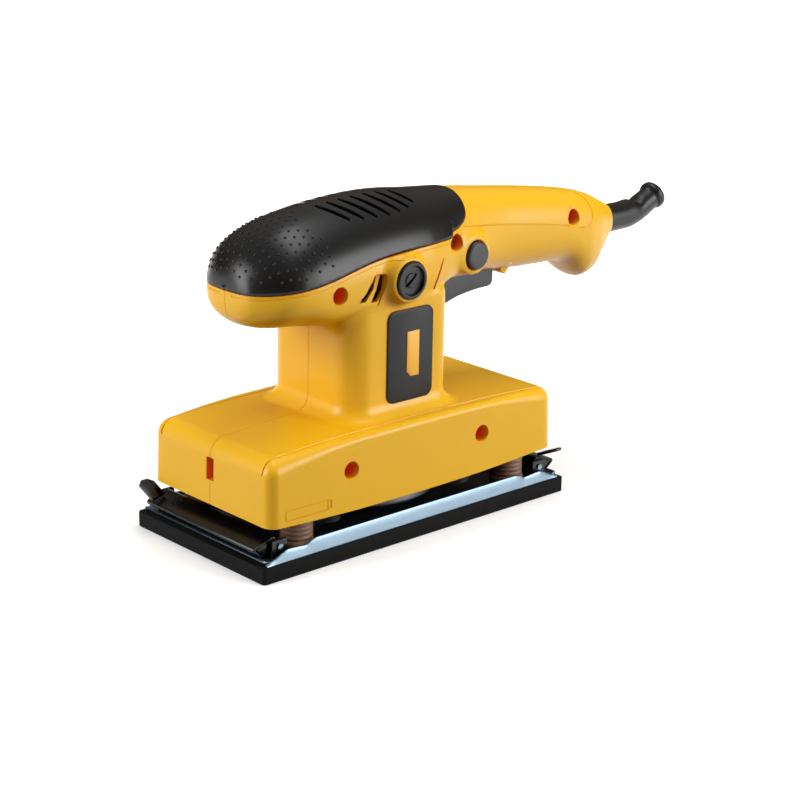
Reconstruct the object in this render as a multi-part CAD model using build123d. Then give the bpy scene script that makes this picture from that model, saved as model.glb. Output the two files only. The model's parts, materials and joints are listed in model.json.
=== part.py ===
"""Third-sheet orbital sander, modelled piece by piece. Millimetres, +Z up.

Origin: centre of the pad's sanding face. X runs along the tool, with the palm nose
towards -X and the rear handle towards +X. Y runs across it, and Y = 0 is the plane
where the two housing shells meet.
"""

import math
import os

from build123d import *

# ---------------------------------------------------------------- driving dimensions
# pad
PAD_LENGTH = 185.0
PAD_WIDTH = 93.0
PAD_THICKNESS = 7.5
PAD_CORNER_RADIUS = 3.0
ORBIT_RADIUS = 1.0

# base plate
PLATE_LENGTH = 178.0
PLATE_WIDTH = 90.4
PLATE_THICKNESS = 1.5
FLANGE_HEIGHT = 5.2
FLANGE_END_DROP = 2.0
LIP_LENGTH = 3.5
LIP_RISE = 1.4

# base of the housing
BASE_LENGTH = 172.0
BASE_WIDTH = 85.4
BASE_GAP = 14.5
BASE_HEIGHT = 31.8
BASE_CROWN = 2.6
BASE_CORNER_RADIUS = 5.5
BASE_TOP_FILLET = 4.6
BASE_DRAFT = 1.2
WALL = 2.5
SEAM_GAP = 0.2
STYLE_GROOVE_INSET = 6.4
STYLE_GROOVE_WIDTH = 0.5
STYLE_GROOVE_DEPTH = 0.4

# motor column
COLUMN_FRONT = 31.5
COLUMN_REAR = 31.0
COLUMN_WIDTH = 60.0
COLUMN_CORNER_RADIUS = 11.0
COLUMN_FOOT_FILLET = 7.0

# head with the palm nose
HEAD_FRONT = 76.5
HEAD_REAR = 51.0
HEAD_CENTRE_X = -20.0
HEAD_HALF_WIDTH = 31.5
HEAD_BOTTOM = 99.5
HEAD_TOP = 151.4
CAP_PROUD = 0.5
CAP_WALL = 2.2

# handle
HANDLE_END = 163.5
HANDLE_HALF_WIDTH = 18.0
HANDLE_EDGE_POWER = 2.6

# motor
MOTOR_X = -ORBIT_RADIUS
SHAFT_RADIUS = 5.0
SHAFT_TOP = 139.0
STATOR_RADIUS = 22.5
STATOR_BOTTOM = 58.0
STATOR_LENGTH = 36.0
ARMATURE_RADIUS = 13.0
AIR_GAP = 0.5
COMMUTATOR_RADIUS = 10.0
COMMUTATOR_LENGTH = 16.0
BRUSH_HEIGHT = 118.0
RUNNING_CLEARANCE = 0.04
BEARING_WIDTH = 7.0
LOWER_BEARING_Z = 41.0
LOWER_BEARING_RADIUS = 14.0
UPPER_BEARING_Z = 130.0
UPPER_BEARING_RADIUS = 11.0
UPPER_JOURNAL_RADIUS = 4.0

# moving masses under the motor
DISC_RADIUS = 37.0
DISC_BOTTOM = 14.0
DISC_THICKNESS = 4.0
WEIGHT_HEIGHT = 6.0
FAN_RADIUS = 31.0
FAN_HEIGHT = 11.0
FAN_BLADES = 16

# pad bearing
PAD_BEARING_RADIUS = 11.0
PAD_BEARING_WIDTH = 6.0
ECCENTRIC_RADIUS = 5.0
HUB_WALL = 3.0

# paper clamps
CLAMP_PIVOT_X = 80.0
CLAMP_PIVOT_Z = 13.8
CLAMP_LIP_X = 92.0
CLAMP_LIP_Z = 13.8
CLAMP_SPAN = 78.0
CLAMP_SHEET = 1.2
CLAMP_TEETH = 26
CLAMP_PIN_RADIUS = 1.3
EAR_SIZE = 12.5
EAR_TILT = 23.5

# trigger and lock-on button
TRIGGER_WIDTH = 15.0
TRIGGER_PIVOT_X = 84.0
TRIGGER_PIVOT_Z = 110.0
TRIGGER_FRONT = 34.0
TRIGGER_REAR = 79.0
TRIGGER_SWING = 7.0
TRIGGER_PIN_RADIUS = 1.6
BUTTON_X = 50.0
BUTTON_Z = 119.6
BUTTON_RADIUS = 6.7
BUTTON_FACE = 27.0
BUTTON_TRAVEL = 3.0

# brushes
BRUSH_CAP_RADIUS = 8.7
BRUSH_CAP_FACE = 38.0
BRUSH_COLLAR_RADIUS = 11.0
BRUSH_WIDTH = 5.0
BRUSH_DEPTH = 8.0
BRUSH_LENGTH = 13.0

# fasteners
SCREW_HOLE_RADIUS = 4.2
SCREW_HEAD_RADIUS = 3.4
SCREW_SHANK_RADIUS = 1.6
SCREW_RECESS = 9.0
BOSS_RADIUS = 5.6

# legs
LEG_X = 65.0
LEG_Y = 34.5
LEG_RADIUS = 6.2
LEG_FLANGE_RADIUS = 8.0
LEG_FLANGE_HEIGHT = 3.0
LEG_SOCKET_CLEARANCE = 0.3

# cord boot
BOOT_ROOT_RADIUS = 7.2
BOOT_TIP_RADIUS = 5.0
BOOT_RIM_RADIUS = 6.4
BOOT_BORE_RADIUS = 3.4
BOOT_AXIS_Z = 116.8

# ---------------------------------------------------------------- derived heights
PLATE_TOP = PAD_THICKNESS + PLATE_THICKNESS
BASE_BOTTOM = PLATE_TOP + BASE_GAP
BASE_TOP = BASE_BOTTOM + BASE_HEIGHT
STATOR_TOP = STATOR_BOTTOM + STATOR_LENGTH
COMMUTATOR_BOTTOM = BRUSH_HEIGHT - COMMUTATOR_LENGTH / 2
WEIGHT_TOP = DISC_BOTTOM + DISC_THICKNESS + WEIGHT_HEIGHT
FAN_BOTTOM = WEIGHT_TOP + 0.5
FAN_TOP = FAN_BOTTOM + FAN_HEIGHT
LABEL_FACE = COLUMN_WIDTH / 2


# ---------------------------------------------------------------- helpers
def rod(radius, start, end):
    """A round bar from one point to another."""
    axis = Vector(*end) - Vector(*start)
    return extrude(Plane(Vector(*start), z_dir=axis) * Circle(radius), amount=axis.length)


def ring(outer, inner, start, end):
    """A round tube from one point to another."""
    return rod(outer, start, end) - rod(inner, start, end)


def slab(x0, x1, y0, y1, z0, z1):
    """A box between two corners."""
    return Pos((x0 + x1) / 2, (y0 + y1) / 2, (z0 + z1) / 2) * Box(x1 - x0, y1 - y0, z1 - z0)


def side_prism(points, y0, y1):
    """A closed XZ outline pushed from y0 to y1."""
    outline = make_face(Polyline(*[(x, 0, z) for x, z in points], close=True))
    return Pos(0, y0, 0) * extrude(outline, amount=y1 - y0, dir=(0, 1, 0))


def only_solids(shape):
    """One solid, or a compound of every solid in a shape."""
    found = list(shape.solids())
    return found[0] if len(found) == 1 else Compound(children=found)


def group(shapes):
    """Separate solids kept together as one node."""
    return Compound(children=[s for shape in shapes for s in shape.solids()])


def turned(shape):
    """The same piece, turned half round about the upright axis."""
    return Rot(0, 0, 180) * shape


def save(name, shape):
    export_step(only_solids(shape), f"parts/{name}.step")


def coil(radius, wire_radius, pitch, turns, start, direction):
    """A round-wire helical spring along a direction."""
    path = Helix(pitch=pitch, height=pitch * turns, radius=radius)
    section = Plane(origin=path @ 0, z_dir=path % 0) * Circle(wire_radius)
    spring = sweep(section, path=path, is_frenet=True)
    return Plane(Vector(*start), z_dir=Vector(*direction)) * spring


def superellipse(half_a_low, half_a_high, half_b, power_low, power_high, steps=28):
    """Points of an oval that is blunter than an ellipse, with its own reach at each end."""
    points = []
    for step in range(steps):
        angle = 2 * math.pi * (step + 0.5) / steps
        c, s = math.cos(angle), math.sin(angle)
        power = power_high if c > 0 else power_low
        reach = half_a_high if c > 0 else half_a_low
        points.append((
            math.copysign(reach * abs(c) ** (2 / power), c),
            math.copysign(half_b * abs(s) ** (2 / power), s),
        ))
    return points


# ---------------------------------------------------------------- housing forms
def base_form(grow=0.0):
    """The skirt over the pad: drafted walls, crowned top, rounded corners."""
    plan = RectangleRounded(BASE_LENGTH + 2 * grow, BASE_WIDTH + 2 * grow, BASE_CORNER_RADIUS + grow)
    walls = extrude(Pos(0, 0, BASE_BOTTOM) * plan, amount=BASE_HEIGHT + 5, taper=BASE_DRAFT)
    half, edge, top = BASE_LENGTH, BASE_TOP - BASE_CROWN + grow, BASE_TOP + grow
    crown = ThreePointArc((-half / 2, 0, edge), (0, 0, top), (half / 2, 0, edge))
    reach = half / 2 + 5
    outline = Polyline((half / 2, 0, edge), (reach, 0, edge), (reach, 0, BASE_BOTTOM - 5),
                       (-reach, 0, BASE_BOTTOM - 5), (-reach, 0, edge), (-half / 2, 0, edge))
    profile = extrude(make_face([crown, outline]), amount=BASE_WIDTH, both=True, dir=(0, 1, 0))
    block = walls & profile
    rim = [e for e in block.edges() if e.center().Z > BASE_BOTTOM + BASE_HEIGHT / 2
           and e.bounding_box().size.Z < BASE_HEIGHT / 2]
    return fillet(rim, BASE_TOP_FILLET + grow)


def column_form(grow=0.0, top=HEAD_BOTTOM + 14):
    """The upright that holds the motor."""
    length = COLUMN_FRONT + COLUMN_REAR + 2 * grow
    plan = RectangleRounded(length, COLUMN_WIDTH + 2 * grow, COLUMN_CORNER_RADIUS + grow)
    middle = (COLUMN_REAR - COLUMN_FRONT) / 2
    return extrude(Pos(middle, 0, BASE_BOTTOM + 8) * plan, amount=top - BASE_BOTTOM - 8)


HEAD_LEVELS = (
    # height, front inset, rear inset, side inset
    (HEAD_BOTTOM, 12.0, 30.0, 8.0),
    (HEAD_BOTTOM + 2.0, 6.6, 26.0, 3.6),
    (HEAD_BOTTOM + 5.0, 2.8, 22.0, 1.2),
    (HEAD_BOTTOM + 9.0, 0.8, 16.0, 0.2),
    (HEAD_BOTTOM + 19.0, 0.0, 5.0, 0.0),
    (HEAD_BOTTOM + 27.0, 1.5, 0.5, 0.6),
    (HEAD_BOTTOM + 35.0, 5.8, 0.2, 2.8),
    (HEAD_BOTTOM + 41.5, 14.4, 1.0, 7.0),
    (HEAD_BOTTOM + 46.0, 24.5, 3.5, 12.2),
    (HEAD_BOTTOM + 49.2, 37.0, 10.0, 18.0),
    (HEAD_TOP - 0.9, 46.0, 22.0, 23.0),
    (HEAD_TOP, 50.0, 38.0, 27.0),
)


def head_form(grow=0.0):
    """The head from the nose to the handle, built up from level ovals."""
    middle = (HEAD_BOTTOM + HEAD_TOP) / 2
    stretch = 1 + grow / (middle - HEAD_BOTTOM)
    sections = []
    for z, front, rear, side in HEAD_LEVELS:
        oval = superellipse(HEAD_FRONT + HEAD_CENTRE_X - front + grow, HEAD_REAR - HEAD_CENTRE_X - rear + grow,
                            HEAD_HALF_WIDTH - side + grow, 2.9, 3.6)
        level = middle + (z - middle) * stretch
        wire = Spline(*[(x + HEAD_CENTRE_X, y, level) for x, y in oval], periodic=True)
        sections.append(make_face(wire))
    return loft(sections)


HANDLE_STATIONS = (
    # x, underside, top, half width
    (14.0, 106.0, 147.5, 24.0),
    (34.0, 106.5, 147.6, 23.6),
    (50.0, 107.0, 146.9, 22.2),
    (66.0, 106.5, 145.6, 19.6),
    (82.0, 104.5, 144.0, 18.4),
    (100.0, 102.8, 141.5, 18.0),
    (114.0, 101.5, 139.3, 18.0),
    (124.0, 97.0, 137.6, 18.0),
    (132.0, 93.0, 135.8, 17.8),
    (140.0, 91.8, 133.6, 17.2),
    (147.0, 96.0, 131.2, 16.6),
    (152.0, 102.0, 129.0, 15.4),
    (157.0, 106.4, 127.0, 13.4),
    (161.0, 108.0, 125.8, 11.4),
    (HANDLE_END, 108.6, 125.2, 10.2),
)


def handle_form(grow=0.0):
    """The rear handle, built up from upright ovals, with the hook at its end."""
    sections = []
    scale = HANDLE_HALF_WIDTH / 18.0
    for x, low, high, half in HANDLE_STATIONS:
        tall, wide = (high - low) / 2 + grow, half * scale + grow
        x = x * HANDLE_END / 163.5 + grow * max(0.0, x / HANDLE_END - 0.85) / 0.15
        oval = superellipse(tall, tall, wide, HANDLE_EDGE_POWER, HANDLE_EDGE_POWER, 20)
        wire = Spline(*[(x, y, (low + high) / 2 + z) for z, y in oval], periodic=True)
        sections.append(make_face(wire))
    return loft(sections)


def above_parting(drop=0.0):
    """Everything over the line where the palm cap meets the yellow shells."""
    line = Spline((-95, 0, 118.8), (-76, 0, 118.8), (-64, 0, 120.2), (-46, 0, 121.7), (-31, 0, 124.5),
                  (-16, 0, 126.8), (0, 0, 128.3), (17, 0, 129.3), (34.5, 0, 130.4))
    rise = Spline((34.5, 0, 132.4), (42, 0, 134.4), (47.5, 0, 138.5), (51, 0, 145), (52.5, 0, 153))
    lid = Polyline((52.5, 0, 153), (52.5, 0, 175), (-95, 0, 175), (-95, 0, 118.8))
    step = Line((34.5, 0, 130.4), (34.5, 0, 132.4))
    face = make_face([line, step, rise, lid])
    return Pos(0, 0, -drop) * extrude(face, amount=2 * HEAD_HALF_WIDTH, both=True, dir=(0, 1, 0))


# every housing screw: x, z and how far out the side wall is there
SCREW_PLACES = (
    (-40.0, 39.4, BASE_WIDTH / 2 - 0.4),
    (40.0, 39.4, BASE_WIDTH / 2 - 0.4),
    (-38.0, 115.6, HEAD_HALF_WIDTH - 0.4),
    (37.5, 127.4, 23.6),
    (124.0, 126.0, HANDLE_HALF_WIDTH - 0.8),
)


def screw_bosses(inset=0.0):
    """The pillars that join the two shells at each screw."""
    pillars = [rod(BOSS_RADIUS, (x, -side + inset, z), (x, side - inset, z)) for x, z, side in SCREW_PLACES]
    return group(pillars)


def screw_holes():
    """Recess, shank hole and pilot hole of each housing screw, from the left side."""
    holes = []
    for x, z, side in SCREW_PLACES:
        holes.append(rod(SCREW_HOLE_RADIUS, (x, -side - 6, z), (x, -side + SCREW_RECESS, z)))
        holes.append(rod(SCREW_SHANK_RADIUS + 0.02, (x, -side, z), (x, side - WALL - 2, z)))
    return group(holes)


def screws():
    """Pan-head screws that sit deep in their recesses."""
    made = []
    for x, z, side in SCREW_PLACES:
        seat = -side + SCREW_RECESS
        head = rod(SCREW_HEAD_RADIUS, (x, seat - 2.4, z), (x, seat, z))
        slot = rod(1.5, (x, seat - 2.5, z), (x, seat - 1.1, z))
        shank = rod(SCREW_SHANK_RADIUS, (x, seat, z), (x, side - WALL - 3, z))
        made.append(head - slot + shank)
    return group(made)


def leg_places():
    return [(sx * LEG_X, sy * LEG_Y) for sx in (-1, 1) for sy in (-1, 1)]


LEG_SOCKET_MOUTH = BASE_BOTTOM + 1.0
LEG_TOP = BASE_BOTTOM + 10.5


def leg_bosses():
    """Sockets under the roof of the skirt that hold the elastomer legs."""
    outer = LEG_RADIUS + LEG_SOCKET_CLEARANCE + 2.0
    bosses = [rod(outer, (x, y, LEG_SOCKET_MOUTH), (x, y, BASE_TOP)) for x, y in leg_places()]
    return group(bosses)


def leg_holes():
    inner = LEG_RADIUS + LEG_SOCKET_CLEARANCE
    return group([rod(inner, (x, y, BASE_BOTTOM - 1), (x, y, LEG_TOP)) for x, y in leg_places()])


def side_vents():
    """Two slanted cooling slots and a short third one, right through both side walls."""
    cuts = []
    for shift, low in ((0.0, 110.2), (9.0, 109.4)):
        outline = [(-23.6 + shift, low), (-20.6 + shift, low), (-10.8 + shift, 121.3), (-13.6 + shift, 121.3)]
        cuts.append(side_prism(outline, -45, 45))
    return group(cuts)


def style_groove():
    """The fine line that runs over the skirt near each long edge."""
    y = BASE_WIDTH / 2 - STYLE_GROOVE_INSET
    half = STYLE_GROOVE_WIDTH / 2
    band = slab(-BASE_LENGTH, BASE_LENGTH, y - half, y + half, BASE_TOP - 9, BASE_TOP + 9)
    return band - base_form(-STYLE_GROOVE_DEPTH)


def brush_collar(side):
    """Raised ring round a brush cap."""
    return rod(BRUSH_COLLAR_RADIUS, (MOTOR_X, side * 26, BRUSH_HEIGHT), (MOTOR_X, side * (BRUSH_CAP_FACE - 1.6), BRUSH_HEIGHT))


def brush_passage(side):
    """The round hole that a brush cap screws into, stopping at the holder's flange."""
    return rod(BRUSH_CAP_RADIUS + 0.1, (MOTOR_X, side * 24, BRUSH_HEIGHT), (MOTOR_X, side * 45, BRUSH_HEIGHT))


def button_collar():
    return rod(BUTTON_RADIUS + 2.2, (BUTTON_X, -17, BUTTON_Z), (BUTTON_X, -BUTTON_FACE + BUTTON_TRAVEL, BUTTON_Z))


def button_passage():
    return rod(BUTTON_RADIUS + 0.3, (BUTTON_X, -12, BUTTON_Z), (BUTTON_X, -40, BUTTON_Z))


def trigger_passage():
    half = TRIGGER_WIDTH / 2 + 0.4
    return slab(TRIGGER_FRONT - 5, TRIGGER_PIVOT_X + 4, -half, half, HEAD_BOTTOM - 3, TRIGGER_PIVOT_Z + 4)


def handle_lip():
    """A small pointed guard behind the trigger."""
    outline = [(TRIGGER_REAR + 5.5, 108), (TRIGGER_REAR + 6.5, 102.2), (TRIGGER_REAR + 10.5, 104.6), (TRIGGER_REAR + 12, 108)]
    return side_prism(outline, -9, 9)


def front_slot():
    """Slot at the seam in the nose of the skirt, used to line up the paper punch."""
    return slab(-BASE_LENGTH / 2 - 4, -BASE_LENGTH / 2 + 6, -2.6, 2.6, BASE_BOTTOM + 10, BASE_BOTTOM + 20.6)


def housing():
    """Both yellow shells as one hollow body, before the seam is cut."""
    outer = base_form() + column_form() + head_form() + handle_form()
    cap_zone = head_form(CAP_PROUD + 0.1) & above_parting(0.1)
    outer = outer - cap_zone
    opening = slab(-BASE_LENGTH, BASE_LENGTH, -BASE_WIDTH, BASE_WIDTH, BASE_BOTTOM - 5, BASE_BOTTOM + 0.01)
    inner = base_form(-WALL) + column_form(-WALL) + head_form(-WALL) + handle_form(-WALL) + opening
    shell = outer - inner
    solid_parts = (screw_bosses() + leg_bosses()) & outer
    shell = shell + solid_parts
    for side in (-1, 1):
        shell = shell + (brush_collar(side) - brush_passage(side) - cap_zone)
    shell = shell + (button_collar() - head_form(-WALL) - handle_form(-WALL)) + (handle_lip() - handle_form(-WALL))
    for side in (-1, 1):
        shell = shell - brush_passage(side)
    shell = shell - screw_holes() - leg_holes() - side_vents() - button_passage()
    shell = shell - trigger_passage() - front_slot() - boot_passage() - motor_room() - trigger_pin_hole()
    return shell - style_groove() - mirror(style_groove(), about=Plane.XZ)


def motor_room():
    """Keeps the screw pillars out of the fan, the switch and the motor."""
    fan = rod(FAN_RADIUS + 1.2, (MOTOR_X, 0, BASE_BOTTOM - 2), (MOTOR_X, 0, FAN_TOP + 0.8))
    switch = slab(43.5, 78, -9.5, 9.5, 112.5, 131)
    return fan + switch


def boot_passage():
    flange = rod(BOOT_FLANGE_RADIUS + 0.1, (BOOT_FLANGE_X - 0.1, 0, BOOT_AXIS_Z), (BOOT_FLANGE_X + BOOT_FLANGE + 0.1, 0, BOOT_AXIS_Z))
    neck = rod(BOOT_ROOT_RADIUS, (BOOT_FLANGE_X, 0, BOOT_AXIS_Z), (HANDLE_END + 5, 0, BOOT_AXIS_Z))
    return flange + neck


def trigger_pin_hole():
    return rod(TRIGGER_PIN_RADIUS, (TRIGGER_PIVOT_X, -14.05, TRIGGER_PIVOT_Z), (TRIGGER_PIVOT_X, 14.05, TRIGGER_PIVOT_Z))


BOOT_FLANGE_RADIUS = BOOT_ROOT_RADIUS + 1.4
BOOT_FLANGE_X = HANDLE_END - 11.0
BOOT_FLANGE = 2.0


def shells():
    """Left and right shell, split on the centre plane with a fine seam between them."""
    whole = housing()
    reach = 400
    half = SEAM_GAP / 2
    left = whole & slab(-reach, reach, -reach, -half, -reach, reach)
    right = whole & slab(-reach, reach, half, reach, -reach, reach)
    return left, right


def cap_slots():
    """Curved cooling slots across the top of the palm cap."""
    places = ((-22.0, 20.0), (-15.0, 21.0), (-8.0, 21.5), (-1.0, 21.5), (6.0, 21.0), (12.5, 19.5), (18.5, 17.0))
    cuts = []
    for x, half in places:
        arc = ThreePointArc((x, -half, 0), (x - 9.0, 0, 0), (x, half, 0))
        cuts.append(extrude(Pos(0, 0, HEAD_TOP - 12) * SlotArc(arc, 2.0), amount=30))
    return group(cuts)


def palm_grip():
    """The soft black cap over the nose and the motor."""
    dome = head_form(CAP_PROUD) & above_parting()
    hollow = head_form(CAP_PROUD - CAP_WALL)
    return dome - hollow - cap_slots()


def label_plate():
    outline = Pos(4.5, 0, 81.3) * (Plane.XZ * RectangleRounded(27.4, 40.6, 4.0))
    return Pos(0, -LABEL_FACE, 0) * extrude(outline, amount=0.8, dir=(0, -1, 0))


def label_badge():
    """A blank five-sided badge on the label."""
    face = -LABEL_FACE - 0.8
    outline = [(2.0, 71.5), (9.4, 71.5), (9.4, 95.0), (5.0, 95.0), (2.0, 92.2)]
    return side_prism(outline, face - 0.4, face)


def rating_plate():
    outline = Pos(-2.0, 0, 80.0) * (Plane.XZ * RectangleRounded(34.0, 38.0, 3.0))
    return Pos(0, LABEL_FACE, 0) * extrude(outline, amount=0.5, dir=(0, 1, 0))


# ---------------------------------------------------------------- motor, fixed pieces
def stator():
    """Laminated field core with its two winding slots cut through."""
    bore = ARMATURE_RADIUS + AIR_GAP
    core = ring(STATOR_RADIUS, bore, (MOTOR_X, 0, STATOR_BOTTOM), (MOTOR_X, 0, STATOR_TOP))
    for leg in winding_legs(0.2):
        core = core - leg
    return core


def winding_legs(clearance=0.0):
    """The four straight runs of the field coils, two on each side."""
    legs = []
    for angle in (45, 135, 225, 315):
        leg = Pos(16.8, 0, (STATOR_BOTTOM + STATOR_TOP) / 2) * Box(4 + 2 * clearance, 5 + 2 * clearance, STATOR_LENGTH + 4)
        legs.append(Pos(MOTOR_X, 0, 0) * (Rot(0, 0, angle) * leg))
    return legs


def field_windings():
    """Two saddle coils, each an arc at either end of the core joined by its legs."""
    coils = []
    legs = winding_legs()
    for index, sign in enumerate((1, -1)):
        coil_shape = None
        for low, high in ((STATOR_BOTTOM - 5.5, STATOR_BOTTOM - 0.2), (STATOR_TOP + 0.2, STATOR_TOP + 5.5)):
            arc = ring(19.0, 14.6, (MOTOR_X, 0, low), (MOTOR_X, 0, high))
            keep = slab(-40, 40, 9.0, 40, 0, 200) if sign > 0 else slab(-40, 40, -40, -9.0, 0, 200)
            part = arc & keep
            coil_shape = part if coil_shape is None else coil_shape + part
        for leg in legs[2 * index:2 * index + 2]:
            coil_shape = coil_shape + leg
        coils.append(coil_shape)
    return group(coils)


def bearing(outer, inner, z, width):
    """A sealed bearing: two races with the shield set back between them."""
    body = ring(outer, inner + RUNNING_CLEARANCE, (MOTOR_X, 0, z), (MOTOR_X, 0, z + width))
    middle = (outer + inner) / 2
    groove = ring(middle + 1.6, middle - 1.6, (MOTOR_X, 0, z + width - 0.5), (MOTOR_X, 0, z + width + 1))
    return body - groove


def bearing_bracket():
    """The plate across the foot of the column that carries the lower bearing."""
    plan = RectangleRounded(COLUMN_FRONT + COLUMN_REAR + 8, COLUMN_WIDTH + 6, 5.0)
    top = BASE_TOP - WALL - 0.6
    plate = extrude(Pos((COLUMN_REAR - COLUMN_FRONT) / 2, 0, top - 3) * plan, amount=3)
    hub = rod(LOWER_BEARING_RADIUS + 3, (MOTOR_X, 0, LOWER_BEARING_Z), (MOTOR_X, 0, top))
    pocket = rod(LOWER_BEARING_RADIUS, (MOTOR_X, 0, LOWER_BEARING_Z - 1), (MOTOR_X, 0, LOWER_BEARING_Z + BEARING_WIDTH))
    way = rod(SHAFT_RADIUS + 3, (MOTOR_X, 0, LOWER_BEARING_Z), (MOTOR_X, 0, top + 1))
    return plate + hub - pocket - way


def bearing_sleeve():
    """Rubber sleeve round the upper bearing."""
    low = UPPER_BEARING_Z
    return ring(UPPER_BEARING_RADIUS + 1.5, UPPER_BEARING_RADIUS, (MOTOR_X, 0, low), (MOTOR_X, 0, low + BEARING_WIDTH))


def upper_bearing_seat():
    """Cross piece between the shells that holds the sleeve."""
    low = UPPER_BEARING_Z - 0.5
    bar = slab(MOTOR_X - 15, MOTOR_X + 15, -25, 25, low, low + BEARING_WIDTH + 1)
    return bar - rod(UPPER_BEARING_RADIUS + 1.5, (MOTOR_X, 0, low - 1), (MOTOR_X, 0, low + 20))


def fan_baffle():
    """Flat plate over the fan, with the hole that it draws air through."""
    low = FAN_TOP + 1.0
    plate = slab(-33, 33, -BASE_WIDTH / 2 + WALL + 0.9, BASE_WIDTH / 2 - WALL - 0.9, low, low + 1.6)
    return plate - rod(LOWER_BEARING_RADIUS + 3.4, (MOTOR_X, 0, low - 1), (MOTOR_X, 0, low + 4))


def bump_stops():
    """Round posts that stop the pad from tilting under a heavy hand."""
    posts = []
    for sx in (-1, 1):
        for sy in (-1, 1):
            x, y = sx * 40.0, sy * 25.0
            post = rod(6.5, (x, y, PLATE_TOP + 3.2), (x, y, BASE_BOTTOM + 13))
            posts.append(post - rod(BOSS_RADIUS, (x, -50, 39.4), (x, 50, 39.4)) - slab(-200, 200, -50, 50, 39.4, 60))
    return group(posts)


def brush_holders():
    made = []
    for side in (-1, 1):
        tube = slab(MOTOR_X - 4, MOTOR_X + 4, 11.8, 30, BRUSH_HEIGHT - 5.5, BRUSH_HEIGHT + 5.5)
        flange = rod(7.6, (MOTOR_X, 28, BRUSH_HEIGHT), (MOTOR_X, 31.6, BRUSH_HEIGHT))
        way = slab(MOTOR_X - BRUSH_WIDTH / 2 - 0.1, MOTOR_X + BRUSH_WIDTH / 2 + 0.1, 0, 40,
                   BRUSH_HEIGHT - BRUSH_DEPTH / 2 - 0.1, BRUSH_HEIGHT + BRUSH_DEPTH / 2 + 0.1)
        holder = tube + flange - way
        made.append(holder if side > 0 else mirror(holder, about=Plane.XZ))
    return group(made)


def carbon_brushes():
    made = []
    low = COMMUTATOR_RADIUS + 0.15
    for side in (-1, 1):
        brush = slab(MOTOR_X - BRUSH_WIDTH / 2, MOTOR_X + BRUSH_WIDTH / 2, low, low + BRUSH_LENGTH,
                     BRUSH_HEIGHT - BRUSH_DEPTH / 2, BRUSH_HEIGHT + BRUSH_DEPTH / 2)
        made.append(brush if side > 0 else mirror(brush, about=Plane.XZ))
    return group(made)


def brush_springs():
    start = COMMUTATOR_RADIUS + 0.15 + BRUSH_LENGTH + 0.5
    return group([coil(1.9, 0.3, 1.2, 6, (MOTOR_X, side * start, BRUSH_HEIGHT), (0, side, 0)) for side in (-1, 1)])


def brush_caps():
    made = []
    for side in (-1, 1):
        cap = rod(BRUSH_CAP_RADIUS, (MOTOR_X, 32.4, BRUSH_HEIGHT), (MOTOR_X, BRUSH_CAP_FACE, BRUSH_HEIGHT))
        step = ring(BRUSH_CAP_RADIUS + 1, BRUSH_CAP_RADIUS - 1.8, (MOTOR_X, BRUSH_CAP_FACE - 1.0, BRUSH_HEIGHT),
                    (MOTOR_X, BRUSH_CAP_FACE + 1, BRUSH_HEIGHT))
        slot = slab(MOTOR_X - 5.4, MOTOR_X + 5.4, BRUSH_CAP_FACE - 1.4, BRUSH_CAP_FACE + 1,
                    BRUSH_HEIGHT - 0.8, BRUSH_HEIGHT + 0.8)
        slot = Pos(MOTOR_X, 0, BRUSH_HEIGHT) * (Rot(0, -45, 0) * (Pos(-MOTOR_X, 0, -BRUSH_HEIGHT) * slot))
        plug = cap - step - slot
        made.append(plug if side > 0 else mirror(plug, about=Plane.XZ))
    return group(made)


# ---------------------------------------------------------------- motor, turning pieces
def motor_shaft():
    """Shaft with its upper journal and the eccentric pin that drives the pad."""
    body = rod(SHAFT_RADIUS, (MOTOR_X, 0, ECCENTRIC_TOP), (MOTOR_X, 0, UPPER_BEARING_Z - 0.5))
    journal = rod(UPPER_JOURNAL_RADIUS, (MOTOR_X, 0, UPPER_BEARING_Z - 0.5), (MOTOR_X, 0, SHAFT_TOP))
    cheek = rod(SHAFT_RADIUS + 2, (MOTOR_X, 0, ECCENTRIC_TOP), (MOTOR_X, 0, ECCENTRIC_TOP + 1.5))
    pin = rod(ECCENTRIC_RADIUS, (0, 0, PLATE_TOP + 0.6), (0, 0, ECCENTRIC_TOP))
    return body + journal + cheek + pin


ECCENTRIC_TOP = PLATE_TOP + 0.3 + PAD_BEARING_WIDTH + 0.3


def armature_core():
    """Slotted laminations on the shaft."""
    core = ring(ARMATURE_RADIUS, SHAFT_RADIUS, (MOTOR_X, 0, STATOR_BOTTOM), (MOTOR_X, 0, STATOR_TOP))
    for index in range(12):
        slot = slab(8.0, 14.0, -0.9, 0.9, STATOR_BOTTOM - 1, STATOR_TOP + 1)
        core = core - Pos(MOTOR_X, 0, 0) * (Rot(0, 0, index * 30) * slot)
    return core


def armature_windings():
    """The coil heads at either end of the laminations."""
    heads = []
    for low, high in ((STATOR_BOTTOM - 5.5, STATOR_BOTTOM), (STATOR_TOP, STATOR_TOP + 9)):
        head = rod(11.6, (MOTOR_X, 0, low), (MOTOR_X, 0, high))
        free_end = low if high == STATOR_BOTTOM else high
        rim = [e for e in head.edges().filter_by(GeomType.CIRCLE) if abs(e.center().Z - free_end) < 0.1]
        heads.append(chamfer(rim, 1.8) - rod(SHAFT_RADIUS, (MOTOR_X, 0, low - 1), (MOTOR_X, 0, high + 1)))
    return group(heads)


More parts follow.
